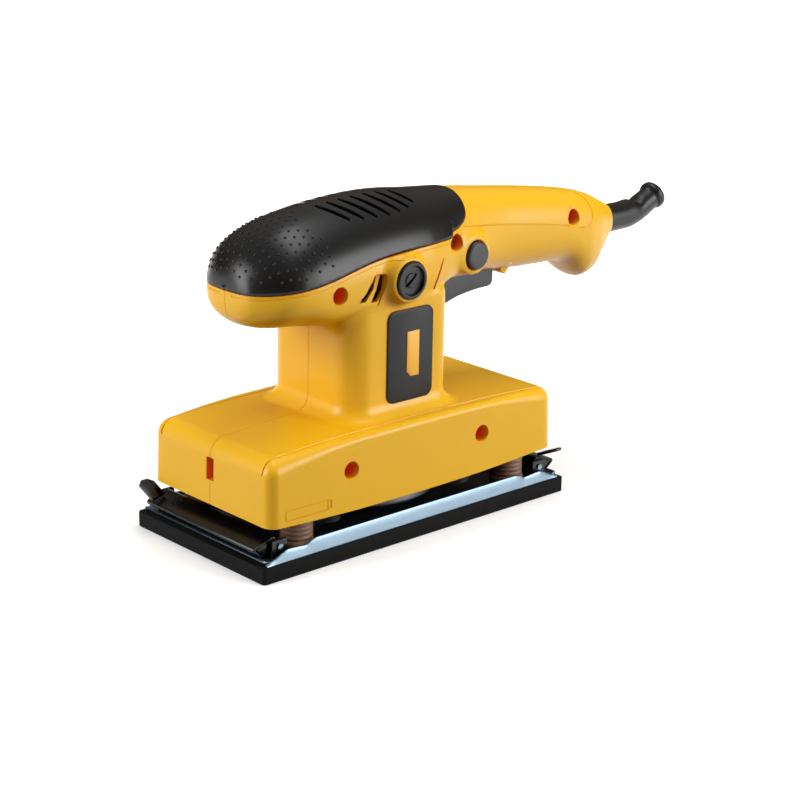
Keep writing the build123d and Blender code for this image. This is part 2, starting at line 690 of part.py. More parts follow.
def commutator():
    body = ring(COMMUTATOR_RADIUS, SHAFT_RADIUS, (MOTOR_X, 0, COMMUTATOR_BOTTOM), (MOTOR_X, 0, COMMUTATOR_BOTTOM + COMMUTATOR_LENGTH))
    for index in range(24):
        slot = slab(9.3, 11.0, -0.2, 0.2, COMMUTATOR_BOTTOM - 1, COMMUTATOR_BOTTOM + COMMUTATOR_LENGTH + 1)
        body = body - Pos(MOTOR_X, 0, 0) * (Rot(0, 0, index * 15) * slot)
    return body


def counterweight():
    """Balance disc under the skirt, with a heavy half opposite the eccentric."""
    disc = rod(DISC_RADIUS, (MOTOR_X, 0, DISC_BOTTOM), (MOTOR_X, 0, DISC_BOTTOM + DISC_THICKNESS))
    rim = [e for e in disc.edges().filter_by(GeomType.CIRCLE) if e.center().Z < DISC_BOTTOM + 1]
    disc = fillet(rim, 1.2)
    sector = ring(DISC_RADIUS - 1, 20, (MOTOR_X, 0, DISC_BOTTOM + DISC_THICKNESS), (MOTOR_X, 0, WEIGHT_TOP))
    weight = sector & slab(-60, MOTOR_X, -60, 60, 0, 60)
    boss = rod(13, (MOTOR_X, 0, DISC_BOTTOM), (MOTOR_X, 0, WEIGHT_TOP))
    hollow = rod(PAD_BEARING_RADIUS + HUB_WALL + 2.4, (MOTOR_X, 0, DISC_BOTTOM - 1), (MOTOR_X, 0, ECCENTRIC_TOP + 1.5))
    lid = rod(PAD_BEARING_RADIUS + HUB_WALL + 4.4, (MOTOR_X, 0, ECCENTRIC_TOP + 1.5), (MOTOR_X, 0, ECCENTRIC_TOP + 4))
    bore = rod(SHAFT_RADIUS, (MOTOR_X, 0, 0), (MOTOR_X, 0, 60))
    return disc + weight + boss + lid - hollow - bore


def cooling_fan():
    """Moulded centrifugal fan over the balance disc."""
    plate = rod(FAN_RADIUS, (MOTOR_X, 0, FAN_BOTTOM), (MOTOR_X, 0, FAN_BOTTOM + 1.4))
    boss = rod(SHAFT_RADIUS + 4, (MOTOR_X, 0, FAN_BOTTOM), (MOTOR_X, 0, FAN_TOP))
    wheel = plate + boss
    for index in range(FAN_BLADES):
        blade = slab(14, FAN_RADIUS - 0.5, -0.6, 0.6, FAN_BOTTOM + 1, FAN_TOP - 1.5)
        wheel = wheel + Pos(MOTOR_X, 0, 0) * (Rot(0, 0, index * 360 / FAN_BLADES) * blade)
    return wheel - rod(SHAFT_RADIUS, (MOTOR_X, 0, 0), (MOTOR_X, 0, 60))


def retaining_ring():
    """Clip that keeps the fan up against its shoulder."""
    return ring(SHAFT_RADIUS + 1.6, SHAFT_RADIUS, (MOTOR_X, 0, FAN_TOP + 0.05), (MOTOR_X, 0, FAN_TOP + 1.2))


# ---------------------------------------------------------------- pad
def foam_pad():
    pad = extrude(RectangleRounded(PAD_LENGTH, PAD_WIDTH, PAD_CORNER_RADIUS), amount=PAD_THICKNESS)
    upper = [e for e in pad.edges() if e.center().Z > PAD_THICKNESS - 0.1]
    return chamfer(upper, 0.5)


def flange_outline():
    """Side view of the top of one flange: straight in the middle, waved down to each end."""
    top = PLATE_TOP + FLANGE_HEIGHT
    low = top - FLANGE_END_DROP
    end = PLATE_LENGTH / 2 - 0.5
    wave = [(end - 27, top), (end - 23.5, low), (end - 19, low - 0.4), (end - 12, low + 0.1),
            (end - 8, low - 1.4), (end - 4, PLATE_TOP + 0.8), (end, PLATE_TOP)]
    right = Polyline(*[(x, 0, z) for x, z in wave])
    left = Polyline(*[(-x, 0, z) for x, z in wave])
    return [left, Line(left @ 0, right @ 0), right]


def base_plate():
    """Folded steel plate: flat floor, a flange along each side, a curled lip at each end."""
    floor = slab(-PLATE_LENGTH / 2, PLATE_LENGTH / 2, -PLATE_WIDTH / 2, PLATE_WIDTH / 2, PAD_THICKNESS, PLATE_TOP)
    end = PLATE_LENGTH / 2 - 0.5
    foot = Polyline((end, 0, PLATE_TOP), (end, 0, PAD_THICKNESS + 0.5), (-end, 0, PAD_THICKNESS + 0.5), (-end, 0, PLATE_TOP))
    side = extrude(make_face(flange_outline() + [foot]), amount=PLATE_THICKNESS, dir=(0, 1, 0))
    plate = floor + Pos(0, -PLATE_WIDTH / 2, 0) * side + Pos(0, PLATE_WIDTH / 2 - PLATE_THICKNESS, 0) * side
    for sign in (-1, 1):
        tip = sign * PLATE_LENGTH / 2
        outline = [(tip - sign * 0.2, PAD_THICKNESS + 0.2), (tip + sign * LIP_LENGTH / 2, PLATE_TOP + LIP_RISE - 0.9),
                   (tip + sign * LIP_LENGTH / 2, PLATE_TOP + LIP_RISE), (tip - sign * 0.6, PLATE_TOP)]
        plate = plate + side_prism(outline, -CLAMP_SPAN / 2 - 2, CLAMP_SPAN / 2 + 2)
    return plate - rivet_shanks()


RIVET_CIRCLE = 17.0
RIVET_RADIUS = 1.6


def rivet_places():
    return [(RIVET_CIRCLE * math.cos(a), RIVET_CIRCLE * math.sin(a)) for a in (math.radians(45 + 90 * k) for k in range(4))]


def rivet_shanks():
    return group([rod(RIVET_RADIUS, (x, y, PAD_THICKNESS), (x, y, PLATE_TOP + 1.4)) for x, y in rivet_places()])


def hub_rivets():
    made = []
    for x, y in rivet_places():
        shank = rod(RIVET_RADIUS, (x, y, PAD_THICKNESS), (x, y, PLATE_TOP + 1.4))
        made.append(shank + rod(RIVET_RADIUS + 0.9, (x, y, PLATE_TOP + 1.4), (x, y, PLATE_TOP + 2.4)))
    return group(made)


def bearing_hub():
    """Cup riveted to the plate round the pad bearing."""
    outer = PAD_BEARING_RADIUS + HUB_WALL
    cup = ring(outer, PAD_BEARING_RADIUS, (0, 0, PLATE_TOP), (0, 0, PLATE_TOP + PAD_BEARING_WIDTH + 0.3))
    foot = ring(RIVET_CIRCLE + 3, PAD_BEARING_RADIUS, (0, 0, PLATE_TOP), (0, 0, PLATE_TOP + 1.4))
    return cup + foot - rivet_shanks()


def pad_bearing():
    low = PLATE_TOP + 0.3
    body = ring(PAD_BEARING_RADIUS, ECCENTRIC_RADIUS + RUNNING_CLEARANCE, (0, 0, low), (0, 0, low + PAD_BEARING_WIDTH))
    groove = ring(9.2, 6.8, (0, 0, low + PAD_BEARING_WIDTH - 0.5), (0, 0, low + PAD_BEARING_WIDTH + 1))
    return body - groove


def clamp_brackets():
    """Lugs on the plate that carry the clamp pins."""
    lugs = []
    for sx in (-1, 1):
        for sy in (-1, 1):
            y0 = sy * (CLAMP_SPAN / 2 + 1.4)
            lug = slab(sx * CLAMP_PIVOT_X - 4, sx * CLAMP_PIVOT_X + 4, min(y0, y0 + sy * 1.2), max(y0, y0 + sy * 1.2),
                       PLATE_TOP, CLAMP_PIVOT_Z + 3.0)
            hole = rod(CLAMP_PIN_RADIUS, (sx * CLAMP_PIVOT_X, -50, CLAMP_PIVOT_Z), (sx * CLAMP_PIVOT_X, 50, CLAMP_PIVOT_Z))
            lugs.append(lug - hole)
    return group(lugs)


def clamp_pins():
    half = CLAMP_SPAN / 2 + 3.4
    return group([rod(CLAMP_PIN_RADIUS, (sx * CLAMP_PIVOT_X, -half, CLAMP_PIVOT_Z), (sx * CLAMP_PIVOT_X, half, CLAMP_PIVOT_Z))
                  for sx in (-1, 1)])


def clamp_springs():
    """Torsion springs round the clamp pins."""
    made = []
    for sx in (-1, 1):
        made.append(coil(1.85, 0.3, 0.8, 8, (sx * CLAMP_PIVOT_X, -4, CLAMP_PIVOT_Z), (0, 1, 0)))
    return group(made)


def paper_clamp():
    """Front paper clamp: folded flap with a rolled lip, toothed jaw and a finger ear."""
    px, pz, lx, lz = -CLAMP_PIVOT_X, CLAMP_PIVOT_Z, -CLAMP_LIP_X, CLAMP_LIP_Z
    jaw_z = PLATE_TOP + 1.2
    outer = [(-87.6, jaw_z), (lx, lz - 1.0), (lx - 0.2, lz + 0.1), (lx + 0.6, lz + 1.0), (px - 1.5, pz + 3.8),
             (px, pz + 3.4), (px, pz + 2.5), (px - 1.6, pz + 2.6), (lx + 1.6, lz + 0.1), (lx + 1.3, lz - 0.5), (-86.4, jaw_z)]
    flap = side_prism(outer, -CLAMP_SPAN / 2, CLAMP_SPAN / 2)
    cheek_outline = [(lx + 0.9, lz + 0.9), (px - 1.5, pz + 3.7), (px + 2.4, pz + 0.9), (px + 2.0, pz - 2.2), (-87.2, jaw_z + 0.4)]
    for sy in (-1, 1):
        y0 = sy * CLAMP_SPAN / 2
        flap = flap + side_prism(cheek_outline, min(y0, y0 - sy * CLAMP_SHEET), max(y0, y0 - sy * CLAMP_SHEET))
    pitch = (CLAMP_SPAN - 4) / CLAMP_TEETH
    for index in range(CLAMP_TEETH):
        y = -CLAMP_SPAN / 2 + 2 + pitch * (index + 0.5)
        tooth = make_face(Polyline((-87.6, y - pitch * 0.4, jaw_z + 0.1), (-87.6, y + pitch * 0.4, jaw_z + 0.1),
                                   (-87.6, y, PLATE_TOP + 0.2), close=True))
        flap = flap + extrude(tooth, amount=1.0, dir=(1, 0, 0))
    ear = clamp_ear()
    hole = rod(CLAMP_PIN_RADIUS + RUNNING_CLEARANCE, (px, -60, pz), (px, 60, pz))
    return flap + ear - hole


def clamp_ear():
    """Eight-sided finger plate at one end of a clamp, tilted up outwards."""
    size = EAR_SIZE
    cut = size * 0.29
    outline = Polyline((-size / 2, -size / 2 - 3), (size / 2, -size / 2 - 3), (size / 2, size / 2 - cut), (size / 2 - cut, size / 2),
                       (-size / 2 + cut, size / 2), (-size / 2, size / 2 - cut), close=True)
    sheet = extrude(make_face(outline), amount=CLAMP_SHEET)
    tilted = Rot(EAR_TILT, 0, 0) * sheet
    return Pos(-89.4, CLAMP_SPAN / 2 + 3.2, CLAMP_LIP_Z + 4.0) * tilted


# ---------------------------------------------------------------- controls
def trigger():
    """Blade that the fingers squeeze, hinged behind its rear end."""
    front, rear, px, pz = TRIGGER_FRONT, TRIGGER_REAR, TRIGGER_PIVOT_X, TRIGGER_PIVOT_Z
    lower = Spline((front, 0, 87.0), (48, 0, 92.8), (57, 0, 95.6), (69, 0, 96.9), (rear - 1.5, 0, 97.2))
    nose = ThreePointArc((rear - 1.5, 0, 97.2), (rear - 0.4, 0, 97.6), (rear, 0, 98.8))
    upper = Polyline((rear, 0, 98.8), (rear, 0, 106.2), (px, 0, pz - 3.2), (px + 3.2, 0, pz), (px, 0, pz + 3.2), (rear - 9, 0, pz + 1.4),
                     (front, 0, pz - 1.0), (front, 0, 87.0))
    half = TRIGGER_WIDTH / 2
    blade = Pos(0, -half, 0) * extrude(make_face([lower, nose, upper]), amount=TRIGGER_WIDTH, dir=(0, 1, 0))
    rounded = [e for e in blade.edges() if abs(abs(e.center().Y) - half) < 0.01 and e.center().Z < 97.0]
    blade = chamfer(rounded, 1.0)
    return blade - rod(TRIGGER_PIN_RADIUS + RUNNING_CLEARANCE, (px, -20, pz), (px, 20, pz))


def trigger_pin():
    return rod(TRIGGER_PIN_RADIUS, (TRIGGER_PIVOT_X, -14, TRIGGER_PIVOT_Z), (TRIGGER_PIVOT_X, 14, TRIGGER_PIVOT_Z))


def trigger_spring():
    return coil(2.6, 0.45, 1.6, 2, (56, 0, 111.5), (0, 0, 1))


def lock_button():
    """Push button with a stem that reaches the switch."""
    head = rod(BUTTON_RADIUS, (BUTTON_X, -BUTTON_FACE, BUTTON_Z), (BUTTON_X, -18.6, BUTTON_Z))
    rim = [e for e in head.edges().filter_by(GeomType.CIRCLE) if e.center().Y < -BUTTON_FACE + 0.1]
    head = fillet(rim, 0.7)
    stem = rod(2.4, (BUTTON_X, -18.6, BUTTON_Z), (BUTTON_X, -9.2 - BUTTON_TRAVEL, BUTTON_Z))
    return head + stem


def button_spring():
    return coil(3.6, 0.4, 2.1, 4, (BUTTON_X, -18.0, BUTTON_Z), (0, 1, 0))


def switch_body():
    return slab(44, 77, -9, 9, 115.5, 130)


def capacitor():
    return slab(84, 100, -8, 8, 116, 128)


def terminal_block():
    return slab(104, 113, -9, 9, 112, 120)


def cord_clamp():
    bar = slab(138, 144, -11, 11, 105.6, 108.4)
    return bar - rod(1.5, (141, -7.5, 100), (141, -7.5, 120)) - rod(1.5, (141, 7.5, 100), (141, 7.5, 120))


def cord_clamp_screws():
    made = []
    for y in (-7.5, 7.5):
        made.append(rod(1.5, (141, y, 101), (141, y, 108.4)) + rod(2.6, (141, y, 108.4), (141, y, 110.2)))
    return group(made)


def motor_leads():
    """Insulated leads from the switch to the field coils."""
    made = []
    for side in (-1, 1):
        path = FilletPolyline((43.8, side * 4, 117), (24, side * 4, 117), (12, side * 12, 117),
                              (12, side * 12, STATOR_TOP + 5.6), radius=2.5)
        made.append(sweep(Plane(origin=path @ 0, z_dir=path % 0) * Circle(1.1), path=path))
    return group(made)


def cord_leads():
    """Leads from the terminal block to the switch."""
    made = []
    for side in (-1, 1):
        made.append(rod(1.1, (77.2, side * 6, 114.3), (103.8, side * 6, 114.3)))
    return group(made)


def legs():
    """Elastomer legs: a flange on the plate and a post up into the skirt."""
    made = []
    for x, y in leg_places():
        foot = rod(LEG_FLANGE_RADIUS, (x, y, PLATE_TOP), (x, y, PLATE_TOP + LEG_FLANGE_HEIGHT))
        sleeve = rod(LEG_FLANGE_RADIUS - 0.6, (x, y, PLATE_TOP), (x, y, BASE_BOTTOM - 0.5))
        waist = ring(LEG_FLANGE_RADIUS + 2, LEG_RADIUS + 0.4, (x, y, PLATE_TOP + LEG_FLANGE_HEIGHT), (x, y, PLATE_TOP + LEG_FLANGE_HEIGHT + 2))
        post = rod(LEG_RADIUS, (x, y, PLATE_TOP), (x, y, LEG_TOP - 0.3))
        made.append(foot + (sleeve - waist) + post - leg_screw_room(x, y))
    return group(made)


def leg_screw_room(x, y):
    return rod(1.5, (x, y, PLATE_TOP - 1), (x, y, PLATE_TOP + 7.5)) + rod(1.5, (x, y, LEG_TOP - 7), (x, y, LEG_TOP + 1))


def leg_screws():
    """Studs that hold each leg into the skirt."""
    return group([rod(1.5, (x, y, LEG_TOP - 7), (x, y, LEG_TOP)) for x, y in leg_places()])


def boot_stations():
    z = BOOT_AXIS_Z
    return (
        # x, z, direction angle, radius
        (HANDLE_END + 1.0, z, 0.0, BOOT_ROOT_RADIUS),
        (HANDLE_END + 9.0, z, 0.0, BOOT_ROOT_RADIUS - 0.1),
        (HANDLE_END + 17.0, z - 0.1, 2.0, BOOT_ROOT_RADIUS - 0.6),
        (HANDLE_END + 24.0, z + 0.6, 12.0, BOOT_TIP_RADIUS + 0.9),
        (HANDLE_END + 30.0, z + 2.6, 26.0, BOOT_TIP_RADIUS + 0.3),
        (HANDLE_END + 35.0, z + 5.2, 30.0, BOOT_TIP_RADIUS),
        (HANDLE_END + 40.0, z + 5.2 + 5 * math.tan(math.radians(30)), 30.0, BOOT_TIP_RADIUS),
    )


def cord_boot():
    """Strain-relief sleeve with a rolled rim at its mouth."""
    sections = []
    for x, z, angle, radius in boot_stations():
        a = math.radians(angle)
        sections.append(Plane(origin=(x, 0, z), x_dir=(0, 1, 0), z_dir=(math.cos(a), 0, math.sin(a))) * Circle(radius))
    sleeve = loft(sections)
    root = rod(BOOT_ROOT_RADIUS, (BOOT_FLANGE_X, 0, BOOT_AXIS_Z), (HANDLE_END + 1.0, 0, BOOT_AXIS_Z))
    flange = rod(BOOT_FLANGE_RADIUS, (BOOT_FLANGE_X, 0, BOOT_AXIS_Z), (BOOT_FLANGE_X + BOOT_FLANGE, 0, BOOT_AXIS_Z))
    x, z, angle, radius = boot_stations()[-1]
    a = math.radians(angle)
    ux, uz = math.cos(a), math.sin(a)
    rim = rod(BOOT_RIM_RADIUS, (x - 2.6 * ux, 0, z - 2.6 * uz), (x + 0.4 * ux, 0, z + 0.4 * uz))
    rim = fillet([e for e in rim.edges().filter_by(GeomType.CIRCLE)], 1.2)
    mouth = rod(BOOT_BORE_RADIUS, (x - 12 * ux, 0, z - 12 * uz), (x + 2 * ux, 0, z + 2 * uz))
    inlet = rod(BOOT_BORE_RADIUS, (BOOT_FLANGE_X - 1, 0, BOOT_AXIS_Z), (BOOT_FLANGE_X + 26, 0, BOOT_AXIS_Z))
    return sleeve + root + flange + rim - mouth - inlet


# ---------------------------------------------------------------- everything, node by node
def main():
    os.makedirs("parts", exist_ok=True)
    left, right = shells()
    save("housing_left", left)
    save("housing_right", right)
    save("palm_grip", palm_grip())
    save("label_plate", label_plate())
    save("label_badge", label_badge())
    save("rating_plate", rating_plate())
    save("housing_screws", screws())
    save("bump_stops", bump_stops())
    save("elastomer_legs", legs())
    save("leg_screws", leg_screws())
    save("stator_core", stator())
    save("field_windings", field_windings())
    save("bearing_bracket", bearing_bracket())
    save("lower_bearing", bearing(LOWER_BEARING_RADIUS, SHAFT_RADIUS, LOWER_BEARING_Z, BEARING_WIDTH))
    save("upper_bearing", bearing(UPPER_BEARING_RADIUS, UPPER_JOURNAL_RADIUS, UPPER_BEARING_Z, BEARING_WIDTH))
    save("bearing_sleeve", bearing_sleeve())
    save("upper_bearing_seat", upper_bearing_seat())
    save("fan_baffle", fan_baffle())
    save("brush_holders", brush_holders())
    save("carbon_brushes", carbon_brushes())
    save("brush_springs", brush_springs())
    save("brush_caps", brush_caps())
    save("switch_body", switch_body())
    save("capacitor", capacitor())
    save("terminal_block", terminal_block())
    save("cord_clamp", cord_clamp())
    save("cord_clamp_screws", cord_clamp_screws())
    save("motor_leads", motor_leads())
    save("cord_leads", cord_leads())
    save("cord_boot", cord_boot())
    save("trigger_pin", trigger_pin())
    save("trigger_spring", trigger_spring())
    save("trigger", trigger())
    save("lock_button", lock_button())
    save("button_spring", button_spring())
    save("motor_shaft", motor_shaft())
    save("armature_core", armature_core())
    save("armature_windings", armature_windings())
    save("commutator", commutator())
    save("counterweight", counterweight())
    save("cooling_fan", cooling_fan())
    save("retaining_ring", retaining_ring())
    save("foam_pad", foam_pad())
    save("base_plate", base_plate())
    save("bearing_hub", bearing_hub())
    save("hub_rivets", hub_rivets())
    save("pad_bearing", pad_bearing())
    save("clamp_brackets", clamp_brackets())
    save("clamp_pins", clamp_pins())
    save("clamp_springs", clamp_springs())
    save("front_clamp", paper_clamp())
    save("rear_clamp", turned(paper_clamp()))


main()
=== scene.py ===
import math

import bmesh
import bpy
import numpy as np
from mathutils import Matrix, Quaternion, Vector
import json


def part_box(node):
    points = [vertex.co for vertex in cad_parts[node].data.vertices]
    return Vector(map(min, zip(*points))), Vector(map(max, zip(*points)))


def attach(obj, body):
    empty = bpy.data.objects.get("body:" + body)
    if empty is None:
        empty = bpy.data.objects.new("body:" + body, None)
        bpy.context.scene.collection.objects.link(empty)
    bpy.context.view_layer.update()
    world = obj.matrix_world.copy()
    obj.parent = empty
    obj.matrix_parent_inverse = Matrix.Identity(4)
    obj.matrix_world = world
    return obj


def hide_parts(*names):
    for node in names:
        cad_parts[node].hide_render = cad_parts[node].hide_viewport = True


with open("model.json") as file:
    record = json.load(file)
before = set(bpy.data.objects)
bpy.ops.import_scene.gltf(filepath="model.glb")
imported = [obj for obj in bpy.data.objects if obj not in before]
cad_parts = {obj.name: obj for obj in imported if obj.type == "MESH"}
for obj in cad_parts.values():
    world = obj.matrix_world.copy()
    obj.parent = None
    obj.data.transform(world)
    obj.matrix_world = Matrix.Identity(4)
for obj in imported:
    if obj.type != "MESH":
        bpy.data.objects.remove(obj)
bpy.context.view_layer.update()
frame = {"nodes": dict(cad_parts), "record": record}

bl_info = {
    "name": "Orbital sander builder",
    "version": (1, 0, 0),
    "blender": (4, 5, 0),
    "location": "3D View > Sidebar > Sander",
    "description": "Builds the finished surfaces of a third-sheet orbital sander round its packed frame",
    "category": "Object",
}

MM = 0.001


# ------------------------------------------------------------------ settings a user would change
def near(node, end, axis):
    """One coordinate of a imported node's box, in millimetres."""
    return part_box(node)[end][axis] / MM


class SANDER_PG_sizes(bpy.types.PropertyGroup):
    """Sizes of the sander's finished pieces, in millimetres."""
    wall: bpy.props.FloatProperty(name="Wall", description="Thickness of the moulded shells", default=2.4,
                                  min=1)
    cell: bpy.props.FloatProperty(name="Mesh cell", description="Spacing of the shells' mesh", default=1.0,
                                  min=0.6)
    foot_fillet: bpy.props.FloatProperty(name="Foot fillet", description="Radius where column meets skirt",
                                         default=7.5)
    nose_fillet: bpy.props.FloatProperty(name="Nose fillet", description="Reach of the blend under the nose",
                                         default=7.0)
    cap_proud: bpy.props.FloatProperty(name="Cap step", description="How far the soft cap stands proud",
                                       default=0.5)
    cap_edge: bpy.props.FloatProperty(name="Cap edge", description="Radius of the cap's rim", default=1.3)
    seam: bpy.props.FloatProperty(name="Seam", description="Half the gap between the two shells",
                                  default=0.12)
    nub_pitch: bpy.props.FloatProperty(name="Nub pitch", description="Spacing of the grip's nubs",
                                       default=4.3)
    nub_radius: bpy.props.FloatProperty(name="Nub radius", description="Radius of one nub", default=0.72)
    teeth: bpy.props.IntProperty(name="Clamp teeth", description="Teeth along each clamp jaw", default=34)
    rib_count: bpy.props.IntProperty(name="Leg ribs", description="Rings round each elastomer leg", default=5)


class SANDER_PG_colours(bpy.types.PropertyGroup):
    """Colours of the finishes, as sRGB hex values."""
    amber: bpy.props.StringProperty(name="Amber ABS", description="Colour of the shells", default="E8B20E")
    black: bpy.props.StringProperty(name="Soft grip", description="Colour of the over-moulded grip",
                                    default="040404")
    charcoal: bpy.props.StringProperty(name="Charcoal", description="Colour of trigger, button and label",
                                       default="222224")
    zinc: bpy.props.StringProperty(name="Zinc plate", description="Tint of the plated steel",
                                   default="697A87")
    leg: bpy.props.StringProperty(name="Leg rubber", description="Colour of the elastomer legs",
                                  default="7A5A48")


def sizes():
    return bpy.context.scene.sander_sizes


def colours():
    return bpy.context.scene.sander_colours


# ------------------------------------------------------------------ smooth profiles in millimetres
def flowing(stations):
    """A curve through stations that never overshoots them, as a function of its first value."""
    x = np.array([s[0] for s in stations], float)
    y = np.array([s[1] for s in stations], float)
    step, rise = np.diff(x), np.diff(y)
    secant = rise / step
    slope = np.zeros_like(y)
    same = secant[:-1] * secant[1:] > 0
    slope[1:-1][same] = 2 / (1 / secant[:-1][same] + 1 / secant[1:][same])
    slope[0], slope[-1] = secant[0], secant[-1]

    def value(at):
        at = np.clip(np.asarray(at, float), x[0], x[-1])
        i = np.clip(np.searchsorted(x, at) - 1, 0, len(step) - 1)
        t = (at - x[i]) / step[i]
        return ((2 * t ** 3 - 3 * t ** 2 + 1) * y[i] + (t ** 3 - 2 * t ** 2 + t) * step[i] * slope[i]
                + (3 * t ** 2 - 2 * t ** 3) * y[i + 1] + (t ** 3 - t ** 2) * step[i] * slope[i + 1])
    return value


NOSE_X = -76.6
HANDLE_X = near("housing_left", 1, 0)
SKIRT_HALF_LENGTH = -near("housing_left", 0, 0)
SKIRT_SHIFT = 1.8
SKIRT_HALF_WIDTH = -near("housing_left", 0, 1)
SKIRT_BOTTOM = near("housing_left", 0, 2)
SKIRT_TOP = SKIRT_BOTTOM + 32.0
SKIRT_CROWN = 3.4
SKIRT_CORNERS = (5.2, 8.5)
COLUMN_X = (-29.9, 31.0)
COLUMN_HALF_WIDTH = -near("label_plate", 1, 1)
COLUMN_CORNERS = (12.5, 9.0)
MOTOR_X = -1.0
BRUSH_Z = (near("brush_caps", 0, 2) + near("brush_caps", 1, 2)) / 2
BRUSH_FACE = near("brush_caps", 1, 1)
BUTTON_X = (near("lock_button", 0, 0) + near("lock_button", 1, 0)) / 2
BUTTON_Z = (near("lock_button", 0, 2) + near("lock_button", 1, 2)) / 2
BUTTON_FACE = near("lock_button", 0, 1)

# crest, underside, half width and height of the widest line of the head and handle, along X
crest = flowing([(-76.6, 121), (-75.9, 124.8), (-74, 129.6), (-70, 135), (-62, 140.8), (-54, 144.4),
                 (-46, 146.7), (-35, 148.7), (-22, 150.4), (-8, 151.3), (1, 151.5), (12, 151.1), (30, 149.3),
                 (56, 147.1), (82, 144), (104, 141.2), (123, 138.4), (137, 135.8), (146, 133.2),
                 (155, 129.2), (HANDLE_X + 1, 124.6)])
belly = flowing([(-76.6, 110), (-75.8, 107.3), (-73.5, 104.6), (-70, 102.2), (-64, 100.6), (-52, 99.8),
                 (-20, 99.5), (12, 100.2), (26, 103.4), (36, 105.4), (47, 106.2), (57, 106.4), (75, 105.2),
                 (87, 103.8), (95, 103.2), (104, 102.8), (114, 102.5), (120, 102.3), (126, 101.3),
                 (131, 98.0), (136, 93.9), (141, 91.4), (147, 92.3), (152, 96.4), (157, 103), (160.5, 107.8),
                 (HANDLE_X + 1, 110.2)])
half_width = flowing([(-76.6, 6), (-76.1, 10.5), (-74.6, 15), (-72, 19.2), (-70, 21.8), (-67, 25.2),
                      (-64, 27.7), (-60, 29.5), (-55, 30.6), (-46, 31.4), (-20, 31.7), (5, 31.3), (17, 30.5),
                      (27, 28.6), (36, 25.9), (44, 23.7), (60, 20.6), (82, 18.4), (100, 18), (124, 17.7),
                      (136, 17.4), (146, 15.2), (155, 11.4), (HANDLE_X + 1, 7.8)])
shoulder = flowing([(-76.6, 114.5), (-60, 117), (-20, 118.5), (20, 121), (50, 123), (82, 123.5), (118, 121),
                    (135, 116), (148, 115.5), (HANDLE_X + 1, 117)])
dome_power = flowing([(-76.6, 1.96), (-20, 1.98), (20, 2.05), (60, 2.35), (HANDLE_X + 1, 2.35)])
belly_power = flowing([(-76.6, 2.2), (-56, 2.3), (-36, 3.4), (20, 3.6), (44, 2.7), (HANDLE_X + 1, 2.4)])

# height of the line where the soft cap meets the shells
parting = flowing([(-90, 118.2), (-74, 118.2), (-67.4, 118.6), (-58.8, 119.6), (-53.4, 120.1),
                   (-43.8, 121.2), (-33.6, 122.9), (-22.8, 125.3), (-11.8, 127.4), (-0.8, 128.7),
                   (10.4, 129.4), (21.6, 129.8), (37.9, 130.1), (38.3, 130.3), (38.8, 132.5), (42, 133.1),
                   (46.2, 134.6), (49.6, 137.1), (50.9, 140), (51.4, 143.1), (51.7, 147), (52.3, 175)])
PARTING_BOW = 0.006

# how far the skirt's lower edge bows down, along X
bow = flowing([(-120, 0.4), (-88, 1.0), (-60, 2.2), (-30, 3.2), (0, 3.5), (30, 3.0), (60, 1.8), (84, 0.5),
               (200, 0.3)])


# ------------------------------------------------------------------ distance fields in millimetres
def rounded_meet(a, b, radius):
    """What two forms share, with a round edge."""
    u, v = a + radius, b + radius
    return np.minimum(np.maximum(u, v), 0) + np.hypot(np.maximum(u, 0), np.maximum(v, 0)) - radius


def rounded_join(a, b, radius):
    """Two forms as one, with a round fillet."""
    return -rounded_meet(-a, -b, radius)


def soft_join(a, b, reach):
    """Two forms as one, with a blend that fades to nothing where reach is nothing."""
    reach = np.maximum(reach, 1e-3)
    share = np.maximum(reach - np.abs(a - b), 0) / reach
    return np.minimum(a, b) - share * share * reach * 0.25


def plan_box(x, y, half_x, half_y, corner):
    """Distance to an upright box with round corners, seen from above."""
    u, v = np.abs(x) - half_x + corner, np.abs(y) - half_y + corner
    return np.hypot(np.maximum(u, 0), np.maximum(v, 0)) + np.minimum(np.maximum(u, v), 0) - corner


def skirt_field(x, y, z):
    x = x - SKIRT_SHIFT
    draft = (z - SKIRT_BOTTOM) * 0.021
    walls = plan_box(x, y, SKIRT_HALF_LENGTH + SKIRT_SHIFT - draft, SKIRT_HALF_WIDTH - draft,
                     np.where(x < 0, *SKIRT_CORNERS))
    along = np.abs(x) / SKIRT_HALF_LENGTH
    top = z - SKIRT_TOP + SKIRT_CROWN * along ** 2.4 + 1.2 * (y / 38) ** 2 * (1 - along ** 2)
    edge = 2.6 + np.where(x < 0, 4.6, 3.4) * np.clip((along - 0.45) / 0.5, 0, 1) ** 1.5
    return rounded_meet(walls, top, edge)


def column_field(x, y, z):
    """The column, its front corners the wider ones; also how much it faces forward."""
    middle = (COLUMN_X[0] + COLUMN_X[1]) / 2
    half = (COLUMN_X[1] - COLUMN_X[0]) / 2
    blend = np.clip((x - COLUMN_X[0]) / (2 * half), 0, 1)
    corner = COLUMN_CORNERS[0] + (COLUMN_CORNERS[1] - COLUMN_CORNERS[0]) * blend * blend * (3 - 2 * blend)
    u, v = np.abs(x - middle) - half + corner, np.abs(y) - COLUMN_HALF_WIDTH + corner
    walls = np.hypot(np.maximum(u, 0), np.maximum(v, 0)) + np.minimum(np.maximum(u, v), 0) - corner
    u = np.where(x < middle, u, 0)
    ahead = np.maximum(u, 0) ** 2 / (np.maximum(u, 0) ** 2 + np.maximum(v, 0) ** 2 + 4)
    return rounded_meet(walls, z - 112, 6.0), ahead


